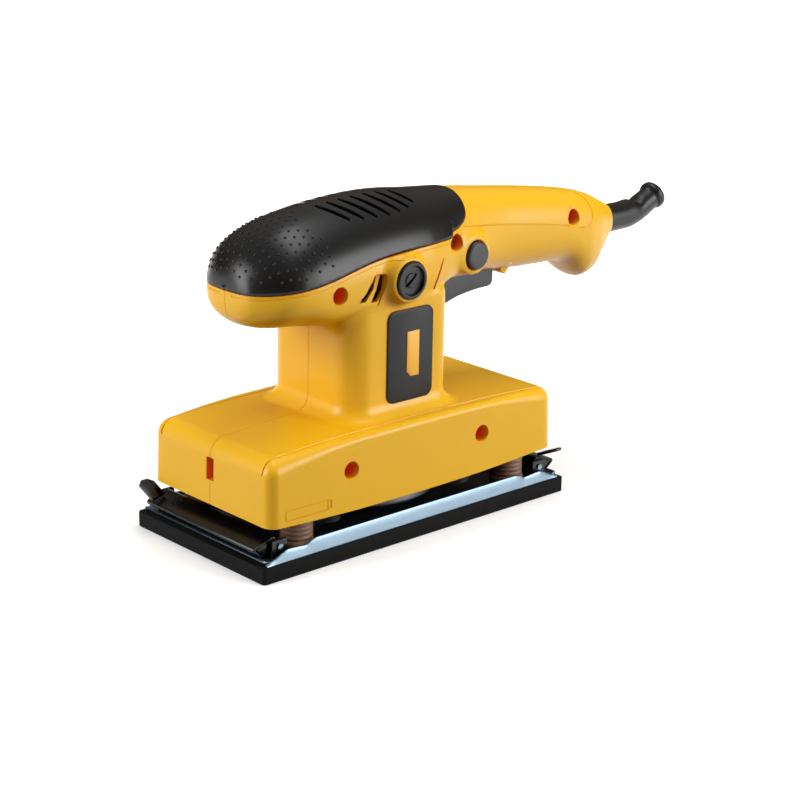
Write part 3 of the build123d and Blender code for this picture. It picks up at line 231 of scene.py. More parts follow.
def upper_field(x, y, z):
    """Head and handle: one long form whose section changes along X; also how much it faces up or down."""
    wide, level = half_width(x), shoulder(x)
    over = z > level
    tall = np.where(over, crest(x) - level, level - belly(x))
    power = np.where(over, dome_power(x), belly_power(x))
    u, v = np.abs(y) / wide + 1e-6, np.abs(z - level) / tall + 1e-6
    size = (u ** power + v ** power) ** (1 / power)
    du, dv = (u / size) ** (power - 1) / wide, (v / size) ** (power - 1) / tall
    steep = np.hypot(du, dv)
    ends = np.maximum(NOSE_X - x, x - HANDLE_X)
    return rounded_meet((size - 1) / steep, ends, 2.4), dv / steep


def knob_field(x, y, z, at_x, at_z, radius, y_low, y_high, edge):
    """A round boss along Y."""
    side = np.hypot(x - at_x, z - at_z) - radius
    return rounded_meet(side, np.maximum(y_low - y, y - y_high), edge)


def body_field(x, y, z):
    """Outside of the moulded shells."""
    s = sizes()
    upper, facing = upper_field(x, y, z)
    column, ahead = column_field(x, y, z)
    form = rounded_join(skirt_field(x, y, z), column, s.foot_fillet)
    form = soft_join(form, upper, s.nose_fillet * (0.25 + ahead * facing ** 2))
    for side in (-1, 1):
        collar = knob_field(x, side * y, z, MOTOR_X, BRUSH_Z, 10.4, 20, BRUSH_FACE - 1.6, 1.2)
        form = soft_join(form, collar, 5.0)
    button = knob_field(x, -y, z, BUTTON_X, BUTTON_Z, 9.3, 8, -BUTTON_FACE - 2.4, 1.2)
    return soft_join(form, button, 5.0)


def parting_field(x, y, z):
    """Negative above the line where the cap begins."""
    along = x + PARTING_BOW * y * y
    rise = (parting(along + 0.05) - parting(along - 0.05)) / 0.1
    return (parting(along) - z) / np.sqrt(1 + rise * rise)


def cap_field(x, y, z):
    """Outside of the soft cap."""
    s = sizes()
    return rounded_meet(upper_field(x, y, z)[0] - s.cap_proud, parting_field(x, y, z) + 0.12, s.cap_edge)


def skin(field, low, high, cell, offset=0.0):
    """A closed quad mesh of a field's surface: one point a cell, then moved onto the true surface."""
    axes = [np.arange(a, b + cell, cell) for a, b in zip(low, high)]
    shape = tuple(len(a) for a in axes)
    value = np.empty(shape, np.float32)
    for i, x in enumerate(axes[0]):
        y, z = np.meshgrid(axes[1], axes[2], indexing="ij")
        value[i] = field(np.full_like(y, x), y, z) - offset
    for axis in range(3):
        ends = [slice(None)] * 3
        for end in (0, -1):
            ends[axis] = end
            value[tuple(ends)] = np.maximum(value[tuple(ends)], cell * 0.5)
    cells = tuple(n - 1 for n in shape)
    total, count, quads = np.zeros((np.prod(cells), 3)), np.zeros(np.prod(cells)), []
    for axis in range(3):
        near_end, far_end = [slice(None)] * 3, [slice(None)] * 3
        near_end[axis], far_end[axis] = slice(None, -1), slice(1, None)
        a, b = value[tuple(near_end)], value[tuple(far_end)]
        crossing = (a < 0) != (b < 0)
        where = np.argwhere(crossing)
        point = where.astype(float)
        point[:, axis] += (a[crossing] / (a[crossing] - b[crossing]))
        u, v = (axis + 1) % 3, (axis + 2) % 3
        ring = []
        for du, dv in ((0, 0), (-1, 0), (-1, -1), (0, -1)):
            cell_at = where.copy()
            cell_at[:, u] += du
            cell_at[:, v] += dv
            flat = np.ravel_multi_index(cell_at.T, cells, mode="clip")
            count += np.bincount(flat, minlength=len(count))
            for k in range(3):
                total[:, k] += np.bincount(flat, weights=point[:, k], minlength=len(count))
            ring.append(flat)
        ring = np.stack(ring, 1)
        outward = a[crossing] < 0
        ring[~outward] = ring[~outward][:, ::-1]
        quads.append(ring)
    used = np.flatnonzero(count)
    number = np.full(len(count), -1)
    number[used] = np.arange(len(used))
    points = total[used] / count[used][:, None] * cell + np.array(low)
    edge = np.array([a[0] for a in axes]) + cell * 1.5, np.array([a[-1] for a in axes]) - cell * 1.5
    free = np.all((points > edge[0]) & (points < edge[1]), axis=1)
    points[free] = settled(field, points[free], offset)
    return points, number[np.concatenate(quads)]


def settled(field, points, offset=0.0, rounds=3):
    """Points moved along the slope of a field until they lie on its surface."""
    points = points.copy()
    for _ in range(rounds):
        slope = slope_of(field, points)
        gap = field(*points.T) - offset
        move = (gap / np.maximum((slope ** 2).sum(1), 0.05))[:, None] * slope
        length = np.linalg.norm(move, axis=1)[:, None]
        points -= move * np.minimum(1, 0.6 / np.maximum(length, 1e-9))
    return points


def slope_of(field, points, reach=0.04):
    slope = np.empty_like(points)
    for k in range(3):
        step = np.zeros(3)
        step[k] = reach
        slope[:, k] = (field(*(points + step).T) - field(*(points - step).T)) / (2 * reach)
    return slope


def on_side(x, z, side, field=body_field):
    """The point on the outside of a form at (x, z), on the left (-1) or right (1)."""
    low, high = 0.0, 60.0
    for _ in range(30):
        mid = (low + high) / 2
        inside = field(np.array([x]), np.array([side * mid]), np.array([z]))[0] < 0
        low, high = (mid, high) if inside else (low, mid)
    return (x, side * low, z)


# ------------------------------------------------------------------ mesh helpers
def piece(name, points, faces, material=None, angle=32):
    """A new object from points in millimetres."""
    mesh = bpy.data.meshes.new(name)
    mesh.from_pydata([tuple(float(c) * MM for c in p) for p in points], [], [tuple(int(i) for i in f)
                                                                             for f in faces])
    mesh.validate()
    obj = bpy.data.objects.new(name, mesh)
    bpy.context.scene.collection.objects.link(obj)
    if material:
        mesh.materials.append(material)
    smooth(obj, angle)
    return obj


def smooth(obj, angle=32):
    mesh = obj.data
    mesh.shade_smooth()
    mesh.set_sharp_from_angle(angle=math.radians(angle))


def coated(obj, material):
    """One material over the whole mesh."""
    mesh = obj.data
    mesh.materials.clear()
    mesh.materials.append(material)
    mesh.polygons.foreach_set("material_index", [0] * len(mesh.polygons))
    return obj


def outward(obj):
    """Normals recalculated to point out, after doubles are merged."""
    work = bmesh.new()
    work.from_mesh(obj.data)
    bmesh.ops.remove_doubles(work, verts=work.verts, dist=1e-7)
    bmesh.ops.recalc_face_normals(work, faces=work.faces)
    work.to_mesh(obj.data)
    work.free()
    return obj


def block(name, low, high, material=None):
    points = [(x, y, z) for x in (low[0], high[0]) for y in (low[1], high[1]) for z in (low[2], high[2])]
    faces = [(0, 1, 3, 2), (4, 6, 7, 5), (0, 4, 5, 1), (2, 3, 7, 6), (0, 2, 6, 4), (1, 5, 7, 3)]
    return piece(name, points, faces, material)


def side_bar(name, outline, y0, y1, material=None, angle=32):
    """A closed XZ outline pushed along Y."""
    n = len(outline)
    points = [(x, y0, z) for x, z in outline] + [(x, y1, z) for x, z in outline]
    faces = [tuple(range(n)), tuple(range(2 * n - 1, n - 1, -1))]
    faces += [(i, (i + 1) % n, n + (i + 1) % n, n + i) for i in range(n)]
    return outward(piece(name, points, faces, material, angle))


def turned_piece(name, profile, start, direction, material=None, steps=64, angle=32):
    """A profile of (radius, height) spun round a line; ends on the line close it."""
    turn = Vector((0, 0, 1)).rotation_difference(Vector(direction))
    points, faces = [], []
    for radius, height in profile:
        for k in range(steps):
            a = 2 * math.pi * k / steps
            points.append(Vector(start) + turn @ Vector((radius * math.cos(a), radius * math.sin(a), height)))
    rows = len(profile)
    for row in range(rows - 1):
        for k in range(steps):
            m = (k + 1) % steps
            faces.append((row * steps + k, row * steps + m, (row + 1) * steps + m, (row + 1) * steps + k))
    if profile[0] != profile[-1]:
        faces += [tuple(range(steps - 1, -1, -1)), tuple(range((rows - 1) * steps, rows * steps))]
    else:
        last = (rows - 1) * steps
        faces = [tuple(i - last if i >= last else i for i in f) for f in faces]
        points = points[:last]
    return outward(piece(name, points, faces, material, angle))


def rod(name, radius, start, end, material=None, steps=48):
    along = Vector(end) - Vector(start)
    return turned_piece(name, [(radius, 0), (radius, along.length)], start, along, material, steps)


def tube(name, points, radius, material=None, steps=12):
    """A round bar along a run of points, with closed ends."""
    points = [Vector(p) for p in points]
    rings, faces = [], []
    side = None
    for i, p in enumerate(points):
        along = (points[min(i + 1, len(points) - 1)] - points[max(i - 1, 0)]).normalized()
        side = (side - side.dot(along) * along).normalized() if side else along.orthogonal().normalized()
        other = along.cross(side)
        size = radius[i] if isinstance(radius, (list, tuple)) else radius
        rings += [p + size * (math.cos(a) * side + math.sin(a) * other)
                  for a in (2 * math.pi * k / steps for k in range(steps))]
    for i in range(len(points) - 1):
        for k in range(steps):
            m = (k + 1) % steps
            faces.append((i * steps + k, i * steps + m, (i + 1) * steps + m, (i + 1) * steps + k))
    faces += [tuple(range(steps - 1, -1, -1)), tuple(range((len(points) - 1) * steps, len(points) * steps))]
    return outward(piece(name, rings, faces, material))


def joined(name, objects, material=None, angle=32):
    """Several meshes as one object."""
    work = bmesh.new()
    for obj in objects:
        work.from_mesh(obj.data)
        bpy.data.objects.remove(obj)
    mesh = bpy.data.meshes.new(name)
    work.to_mesh(mesh)
    work.free()
    obj = bpy.data.objects.new(name, mesh)
    bpy.context.scene.collection.objects.link(obj)
    if material:
        coated(obj, material)
    smooth(obj, angle)
    return obj


def carved(obj, tool, operation="DIFFERENCE"):
    """A boolean with a closed tool, which is used up."""
    change = obj.modifiers.new("carve", "BOOLEAN")
    change.operation, change.object, change.solver = operation, tool, "MANIFOLD"
    baked(obj)
    bpy.data.objects.remove(tool)
    return obj


def baked(obj, angle=32):
    """The object's modifiers turned into plain mesh."""
    depsgraph = bpy.context.evaluated_depsgraph_get()
    mesh = bpy.data.meshes.new_from_object(obj.evaluated_get(depsgraph))
    obj.modifiers.clear()
    old, obj.data = obj.data, mesh
    mesh.name = obj.name
    bpy.data.meshes.remove(old)
    smooth(obj, angle)
    return obj


def softened(obj, width, segments=3, angle=30, smooth_angle=45):
    """Round edges of a width in millimetres, baked in."""
    bevel = obj.modifiers.new("edges", "BEVEL")
    bevel.width, bevel.segments = width * MM, segments
    bevel.limit_method, bevel.angle_limit = "ANGLE", math.radians(angle)
    bevel.harden_normals = False
    return baked(obj, smooth_angle)


def polished(obj, field, offset=0.0, close=0.03):
    """Corner normals taken from the true form wherever a face lies on it."""
    mesh = obj.data
    count = len(mesh.vertices)
    points = np.empty(count * 3, np.float32)
    mesh.vertices.foreach_get("co", points)
    points = points.reshape(-1, 3).astype(float) / MM
    slope = slope_of(field, points)
    slope /= np.maximum(np.linalg.norm(slope, axis=1), 1e-9)[:, None]
    on_form = np.abs(field(*points.T) - offset) < close
    loops = np.empty(len(mesh.loops), np.int32)
    mesh.loops.foreach_get("vertex_index", loops)
    totals = np.empty(len(mesh.polygons), np.int32)
    mesh.polygons.foreach_get("loop_total", totals)
    flats = np.empty(len(mesh.polygons) * 3, np.float32)
    mesh.polygons.foreach_get("normal", flats)
    face_normal = np.repeat(flats.reshape(-1, 3), totals, axis=0)
    corner = np.empty(len(loops) * 3, np.float32)
    mesh.corner_normals.foreach_get("vector", corner)
    corner = corner.reshape(-1, 3)
    use = on_form[loops] & ((slope[loops] * face_normal).sum(1) > 0.9)
    corner[use] = slope[loops][use]
    mesh.normals_split_custom_set(corner.tolist())
    return obj


# ------------------------------------------------------------------ materials
def linear(code):
    """A linear colour from an sRGB hex value."""
    parts = [int(code[i:i + 2], 16) / 255 for i in (0, 2, 4)]
    return tuple(c / 12.92 if c <= 0.04045 else ((c + 0.055) / 1.055) ** 2.4 for c in parts) + (1.0,)


def add(tree, kind, settings=None, **links):
    """A node with its settings, and links into its inputs by name."""
    node = tree.nodes.new(kind)
    for key, value in (settings or {}).items():
        if hasattr(node, key):
            setattr(node, key, value)
        else:
            node.inputs[key].default_value = value
    for key, source in links.items():
        tree.links.new(source, node.inputs[int(key[1:]) if key[:1] == "_" else key.replace("_", " ")])
    return node


def finish_of(name, base, rough, grain_mm, bump, depth_mm=0.05, vary=0.06, spread_mm=14.0, stretch=(1, 1, 1),
              recess_shade_and_glow=None, **extra):
    """A finish with mottled colour and roughness, and a fine relief, on object coordinates.

    The recess colour is painted shade and painted glow: the finish is darkened towards it where ambient
    occlusion finds a recess, and it is given off there as a faint emission."""
    material = bpy.data.materials.get(name)
    if material:
        return material
    material = bpy.data.materials.new(name)
    material.use_nodes = True
    tree = material.node_tree
    tree.nodes.clear()
    place = add(tree, "ShaderNodeTexCoord")
    scaled = add(tree, "ShaderNodeMapping", {"Scale": stretch}, Vector=place.outputs["Object"])
    broad = add(tree, "ShaderNodeTexNoise", {"Scale": 1 / (spread_mm * MM), "Detail": 3.0},
                Vector=scaled.outputs[0])
    fine = add(tree, "ShaderNodeTexNoise", {"Scale": 1 / (grain_mm * MM), "Detail": 2.0},
               Vector=scaled.outputs[0])
    tone = linear(base)
    low = tuple(c * (1 - vary) for c in tone[:3]) + (1,)
    high = tuple(min(1, c * (1 + vary)) for c in tone[:3]) + (1,)
    blend = add(tree, "ShaderNodeMix", {"data_type": "RGBA"}, _0=broad.outputs["Fac"])
    blend.inputs[6].default_value, blend.inputs[7].default_value = low, high
    tone_out = blend.outputs[2]
    # painted shade: the colour is darkened towards the recess colour where ambient occlusion finds a recess,
    # and the same colour is set to glow there
    if recess_shade_and_glow:
        nook = add(tree, "ShaderNodeAmbientOcclusion", {"samples": 6, "Distance": 9 * MM})
        open_part = add(tree, "ShaderNodeMapRange", {"From Min": 0.12, "From Max": 0.62},
                        Value=nook.outputs["AO"])
        shade = add(tree, "ShaderNodeMix", {"data_type": "RGBA"}, _0=open_part.outputs[0], _7=tone_out)
        shade.inputs[6].default_value = linear(recess_shade_and_glow)
        tone_out = shade.outputs[2]
        painted_recess_glow = add(tree, "ShaderNodeMapRange", {"From Min": 0.10, "From Max": 0.42, "To Min": 0.32,
                                                   "To Max": 0.0},
                      Value=nook.outputs["AO"])
    gloss = add(tree, "ShaderNodeMapRange", {"To Min": rough * 0.9, "To Max": rough * 1.12},
                Value=fine.outputs["Fac"])
    relief = add(tree, "ShaderNodeBump", {"Strength": bump, "Distance": depth_mm * MM},
                 Height=fine.outputs["Fac"])
    shader = add(tree, "ShaderNodeBsdfPrincipled", extra, Base_Color=tone_out, Roughness=gloss.outputs[0],
                 Normal=relief.outputs[0])
    # painted glow: the recess colour given off as emission at the bottom of recesses
    if recess_shade_and_glow:
        shader.inputs["Emission Color"].default_value = linear(recess_shade_and_glow)
        tree.links.new(painted_recess_glow.outputs[0], shader.inputs["Emission Strength"])
    add(tree, "ShaderNodeOutputMaterial", Surface=shader.outputs[0])
    return material


def moulded_abs():
    """Injection-moulded ABS: saturated amber, satin from a spark-eroded mould, a little light inside it, and
    a red-orange painted shade and painted glow in its recesses.

    The real texture is about 0.1 mm; it is drawn at 0.5 mm so that it shows."""
    return finish_of("ABS moulded amber", colours().amber, 0.36, 0.5, 0.10, 0.03, 0.03, 30, (1, 1, 1),
                     # C4200F is painted shade and painted glow, red-orange, at the bottom of recesses and in
                     # creases
                     "C4200F",
                     **{"IOR": 1.42, "Subsurface Weight": 0.12, "Subsurface Radius": (1.0, 0.45, 0.08),
                        "Subsurface Scale": 0.0025})


def soft_grip():
    """Over-moulded thermoplastic rubber: near black, with a wide soft gloss."""
    return finish_of("TPE over-moulded black", colours().black, 0.31, 0.6, 0.12, 0.03, 0.10, 20,
                     **{"IOR": 1.36})


def moulded_charcoal():
    """Moulded nylon, dark grey and satin, for trigger and button."""
    return finish_of("Nylon moulded charcoal", colours().charcoal, 0.42, 0.5, 0.12, 0.03, 0.06, 12,
                     **{"IOR": 1.42})


def phenolic():
    """Compression-moulded phenolic: black with a slight polish, for the brush caps."""
    return finish_of("Phenolic moulded black", "070809", 0.34, 0.7, 0.06, 0.02, 0.08, 8, **{"IOR": 1.34})


def label_foil():
    """Screen-printed polycarbonate foil, charcoal with a faint satin grain."""
    return finish_of("Polycarbonate foil charcoal", "1A1A1C", 0.42, 0.35, 0.05, 0.01, 0.05, 20,
                     **{"IOR": 1.3})


def badge_foil():
    """The same foil printed amber."""
    return finish_of("Polycarbonate foil amber", "F0B010", 0.34, 0.35, 0.05, 0.01, 0.03, 10, **{"IOR": 1.58})


def rating_foil():
    """Aluminised foil for the rating plate on the right side."""
    return finish_of("Aluminised foil", "A8A9AB", 0.38, 0.4, 0.06, 0.01, 0.05, 12, **{"Metallic": 0.8})


def zinc_plate():
    """Bright zinc-plated steel sheet: pale blue metal with a fine rolled grain along X."""
    return finish_of("Steel zinc plated", colours().zinc, 0.34, 0.8, 0.10, 0.02, 0.08, 9, (0.12, 1, 1),
                     **{"Metallic": 1.0})


def black_steel():
    """Pressed steel under stoved black enamel: glossy, bright only where a bend turns to the light."""
    return finish_of("Steel black enamel", "050506", 0.28, 0.9, 0.06, 0.02, 0.15, 9, **{"IOR": 1.36})


def screw_steel():
    """Zinc-plated screw steel."""
    return finish_of("Steel screw plated", "9A958C", 0.32, 0.4, 0.1, 0.01, 0.1, 3, **{"Metallic": 1.0})


def pad_foam():
    """Closed-cell rubber sole: near black, dull, with cells of about 0.6 mm."""
    return finish_of("Rubber closed cell", "070808", 0.7, 0.7, 0.35, 0.06, 0.15, 6, **{"IOR": 1.22})


def leg_rubber():
    """Natural-rubber compound: brown, dull, faintly bloomed."""
    return finish_of("Rubber elastomer brown", colours().leg, 0.55, 0.6, 0.25, 0.05, 0.18, 5, **{"IOR": 1.5})


def boot_rubber():
    """Moulded PVC rubber of the cord boot: black with a long soft highlight."""
    return finish_of("PVC moulded black", "050506", 0.34, 0.5, 0.12, 0.03, 0.10, 10, **{"IOR": 1.36})


def dark_nylon():
    """Black glass-filled nylon inside the skirt."""
    return finish_of("Nylon glass filled", "262628", 0.5, 0.6, 0.15, 0.03, 0.1, 8, **{"IOR": 1.53})


def cast_zinc():
    """Die-cast zinc of the balance weight: grey, with the ripple of the die."""
    return finish_of("Zinc die cast", "8E9296", 0.42, 1.2, 0.15, 0.04, 0.1, 8, **{"Metallic": 0.9})


def inner_finish(kind):
    """Finishes of the pieces inside, by the record's material class."""
    makers = {
        "aluminium": cast_zinc,
        "rubber": dark_nylon,
        "matte_plastic": dark_nylon,
        "brushed_steel": screw_steel,
    }
    if kind in makers:
        return makers[kind]()
    return finish_of("Copper enamelled", "A8622C", 0.35, 0.5, 0.2, 0.03, 0.1, 4, **{"Metallic": 0.9})


# ------------------------------------------------------------------ geometry-node repeats
def node_tree(name, sockets):
    tree = bpy.data.node_groups.new(name, "GeometryNodeTree")
    for label, kind, value in sockets:
        socket = tree.interface.new_socket(label, in_out="INPUT", socket_type=kind)
        if value is not None:
            socket.default_value = value
    tree.interface.new_socket("Geometry", in_out="OUTPUT", socket_type="NodeSocketGeometry")
    return tree


def grown(name, tree, values, material, angle=40):
    """A plain mesh from a node tree; inputs are set by their sockets' identifiers."""
    obj = piece(name, [(0, 0, 0)], [], None)
    change = obj.modifiers.new("grow", "NODES")
    change.node_group = tree
    for item in tree.interface.items_tree:
        if item.in_out == "INPUT" and item.name in values:
            change[item.identifier] = values[item.name]
    baked(obj, angle)
    return coated(obj, material)


def nub_places():
    """Even rows of points over the nose of the cap, and which way the surface faces at each."""
    pitch = sizes().nub_pitch
    xs = np.linspace(NOSE_X + 0.05, -36, 4000)
    walked = np.concatenate([[0], np.cumsum(np.hypot(np.diff(xs), np.diff(crest(xs))))])
    points = []
    for row, x in enumerate(np.interp(np.arange(pitch * 1.6, walked[-1], pitch * 0.87), walked, xs)):
        t = np.linspace(math.pi / 2, 0, 1500)
        y = half_width(x) * np.cos(t) ** (2 / dome_power(x))
        z = shoulder(x) + (crest(x) - shoulder(x)) * np.sin(t) ** (2 / dome_power(x))
        along = np.concatenate([[0], np.cumsum(np.hypot(np.diff(y), np.diff(z)))])
        stops = np.arange(pitch / 2 if row % 2 else 0, along[-1], pitch)
        for stop in stops:
            py, pz = float(np.interp(stop, along, y)), float(np.interp(stop, along, z))
            if pz > parting(x) + 5.5 and x < -41 + 3.4 * math.cos(py / 4):
                points += [(x, py, pz)] + ([(x, -py, pz)] if stop else [])
    points = settled(cap_field, np.array(points))
    slope = slope_of(cap_field, points)
    return points, slope / np.linalg.norm(slope, axis=1)[:, None]


def nub_tree(material):
    """A nub at every point of a cloud, set along the direction stored at the point."""
    tree = node_tree("Grip nubs", [("Places", "NodeSocketObject", None), ("Radius", "NodeSocketFloat",
                                                                          0.8 * MM),
                                   ("Height", "NodeSocketFloat", 0.7)])
    out = add(tree, "NodeGroupInput").outputs
    places = add(tree, "GeometryNodeObjectInfo", {"transform_space": "ORIGINAL"}, Object=out["Places"])
    facing = add(tree, "GeometryNodeInputNamedAttribute", {"data_type": "FLOAT_VECTOR", "Name": "facing"})
    turn = add(tree, "FunctionNodeAlignRotationToVector", {"axis": "Z"}, Vector=facing.outputs[0])
    nub = add(tree, "GeometryNodeMeshIcoSphere", {"Subdivisions": 2}, Radius=out["Radius"])
    flat = add(tree, "ShaderNodeCombineXYZ", {"X": 1.0, "Y": 1.0}, Z=out["Height"])
    spread = add(tree, "GeometryNodeInstanceOnPoints", None, Points=places.outputs["Geometry"],
                 Instance=nub.outputs[0],
                 Rotation=turn.outputs[0], Scale=flat.outputs[0])
    real = add(tree, "GeometryNodeRealizeInstances", None, Geometry=spread.outputs[0])
    coat = add(tree, "GeometryNodeSetMaterial", {"Material": material}, Geometry=real.outputs[0])
    add(tree, "NodeGroupOutput", None, Geometry=coat.outputs[0])
    return tree


def row_tree(name, material, count, step, first, shape):
    """Copies of one shape along a straight row."""
    tree = node_tree(name, [("Shape", "NodeSocketObject", None), ("Count", "NodeSocketInt", count),
                            ("Step", "NodeSocketVector", None), ("First", "NodeSocketVector", None)])
    inp = add(tree, "NodeGroupInput")
    out = inp.outputs
    row = add(tree, "GeometryNodeMeshLine", {"mode": "OFFSET"}, Count=out["Count"], Offset=out["Step"],
              Start_Location=out["First"])
    item = add(tree, "GeometryNodeObjectInfo", {"transform_space": "ORIGINAL"}, Object=out["Shape"])
    spread = add(tree, "GeometryNodeInstanceOnPoints", None, Points=row.outputs[0],
                 Instance=item.outputs["Geometry"])
    real = add(tree, "GeometryNodeRealizeInstances", None, Geometry=spread.outputs[0])
    coat = add(tree, "GeometryNodeSetMaterial", {"Material": material}, Geometry=real.outputs[0])
    add(tree, "NodeGroupOutput", None, Geometry=coat.outputs[0])
    made = grown(name, tree, {"Shape": shape, "Count": count, "Step": [c * MM for c in step],
                              "First": [c * MM for c in first]}, material)
    bpy.data.objects.remove(shape)
    return made


# ------------------------------------------------------------------ the pieces
SCREW_PLACES = (
    # x, z, depth of the recess
    (-40.0, 39.4, 8.6),
    (40.0, 39.4, 8.6),
    (-38.0, 115.6, 8.6),
    (37.5, 127.4, 6.5),
    (124.0, 126.0, 7.5),
)
RECESS_RADIUS = 4.0


def screw_tools():
    """Tubes that line the recesses, and the holes down them."""
    linings, holes = [], []
    for x, z, depth in SCREW_PLACES:
        wall_y = on_side(x, z, -1)[1]
        linings.append(rod("lining", RECESS_RADIUS + 1.5, (x, wall_y + 1.6, z), (x, wall_y + depth + 2, z)))
        holes.append(turned_piece("hole", [(RECESS_RADIUS + 2.4, -2), (RECESS_RADIUS + 0.25, 0),
                                           (RECESS_RADIUS, 0.4), (RECESS_RADIUS - 0.3, depth)],
                                  (x, wall_y, z), (0, 1, 0)))
    return linings, holes


# the cooling slots: a shallow pocket, slots let in to a ledge, and a narrower way through
POCKET_DEPTH, VENT_LEDGE, VENT_TOP = 0.6, 2.6, 121.6
VENT_WIDE, VENT_NARROW = 3.6, 1.5


def vent_tools(side):
    """Slanted cooling slots in a shallow pocket, and the thin slit behind the brush cap."""
    face = on_side(-20, 109, side)[1]
    inner, outer = (face + 8, face - 12) if side < 0 else (face - 8, face + 12)
    pocket_floor = face - side * POCKET_DEPTH
    ledge = face - side * VENT_LEDGE
    tools = []
    pocket = [(-29.8, 109.4), (-28.4, 107.4), (-15.5, 107.2), (-14.6, 109.0), (-13.4, 113.0), (-12.4, 121.8),
              (-17.6, 122.4), (-23.8, 114.0)]
    tools.append(side_bar("pocket", pocket, min(pocket_floor, outer), max(pocket_floor, outer)))
    for low_x, high_x, low in ((-26.0, -18.6, 110.2), (-19.4, -14.2, 109.4)):
        lean = high_x - low_x
        for start, wide, end in ((0.0, VENT_WIDE, ledge), (0.0, VENT_NARROW, inner)):
            slot = [(low_x + start, low), (low_x + start + wide, low),
                    (low_x + start + wide * 0.94 + lean * 0.62, low + 5.2),
                    (high_x + start + wide * 0.6, VENT_TOP), (high_x + start, VENT_TOP),
                    (low_x + start + lean * 0.58, low + 5.6)]
            tools.append(side_bar("slot", slot, min(end, outer), max(end, outer)))
    slit = [(18.4, 109.3), (20.0, 109.3), (25.9, 122.7), (24.7, 122.7)]
    slit_face = on_side(22, 116, side)[1]
    a, b = (slit_face - 4, slit_face + 1.0) if side < 0 else (slit_face - 1.0, slit_face + 4)
    tools.append(side_bar("slit", slit, a, b))
    return tools


def groove_tools(side):
    """Fine lines let into the skirt's top and the handle's side."""
    tools = []
    y = side * (SKIRT_HALF_WIDTH - 6.4)
    run = []
    for x in np.linspace(-SKIRT_HALF_LENGTH + 0.5, SKIRT_HALF_LENGTH - 0.5, 90):
        low, high = 40.0, 60.0
        for _ in range(24):
            mid = (low + high) / 2
            inside = skirt_field(np.array([x]), np.array([y]), np.array([mid]))[0] < 0
            low, high = (mid, high) if inside else (low, mid)
        run.append((x, y, low + 0.02))
    tools.append(tube("line", run, 0.45, steps=8))
    rim = []
    for x in NOSE_X + 0.06 + 110.4 * np.linspace(0, 1, 130) ** 2.2:
        z = float(parting(x)) - 1.5
        for _ in range(3):
            z = float(parting(x + PARTING_BOW * on_side(x, z, side)[1] ** 2)) - 1.5
        spot = on_side(x, z, side)
        rim.append((x, spot[1], z))
    tools.append(tube("line", rim, 0.3, steps=8))
    wave = flowing([(44, 133.4), (52, 132.2), (66, 130.6), (79, 128.8), (99.6, 125.8), (112, 123.8),
                    (119.6, 122.6)])
    sides = [on_side(x, float(wave(x)), side) for x in np.linspace(44, 119.6, 54)]
    tools.append(tube("line", [(x, y0 + side * 0.02, z) for x, y0, z in sides], 0.38, steps=8))
    rounds = [(128.1, 120.3), (131.3, 119.9), (134.6, 120.7), (136.9, 122.4), (138.3, 124.9), (138.7, 127.9),
              (137.9, 131.3), (136.6, 133.7), (134.0, 135.4)]
    t = list(range(len(rounds)))
    xs, zs = (flowing(list(zip(t, v)))(np.linspace(0, t[-1], 50)) for v in zip(*rounds))
    sides = [on_side(float(x), float(z), side) for x, z in zip(xs, zs)]
    tools.append(tube("line", [(x, y0 + side * 0.02, z) for x, y0, z in sides], 0.38, steps=8))
    return tools


def shell_tools(side):
    """Everything cut out of one shell."""
    tools = vent_tools(side) + groove_tools(side)
    tools.append(rod("brush way", 8.85, (MOTOR_X, side * 24, BRUSH_Z), (MOTOR_X, side * 45, BRUSH_Z)))
    tools.append(block("trigger way", (29, -7.9, 92), (80.3, 7.9, 113.8)))
    tools.append(block("nose slot", (-95, -2.6, SKIRT_BOTTOM + 10.1), (-SKIRT_HALF_LENGTH + 4.6, 2.6,
                                                                       SKIRT_BOTTOM + 20.6)))
    tools.append(rod("boot way", 7.35, (HANDLE_X - 12, 0, 116.8), (HANDLE_X + 5, 0, 116.8)))
    if side < 0:
        tools.append(rod("button way", 7.3, (BUTTON_X, -12, BUTTON_Z), (BUTTON_X, -40, BUTTON_Z)))
        y = -SKIRT_HALF_WIDTH
        for low, high in (((-77.7, 24.7), (-77.2, 29.4)), ((-77.7, 29.0), (-53.6, 29.5)), ((-77.7, 24.5),
                                                                                           (-53.6, 25.0)),
                          ((-54.1, 24.7), (-53.6, 29.4))):
            tools.append(block("frame", (low[0], y - 1, low[1]), (high[0], y + 0.32, high[1])))
        tools.append(block("tick", (-52.3, y - 1, 25.0), (-51.7, y + 0.9, 28.7)))
    return tools


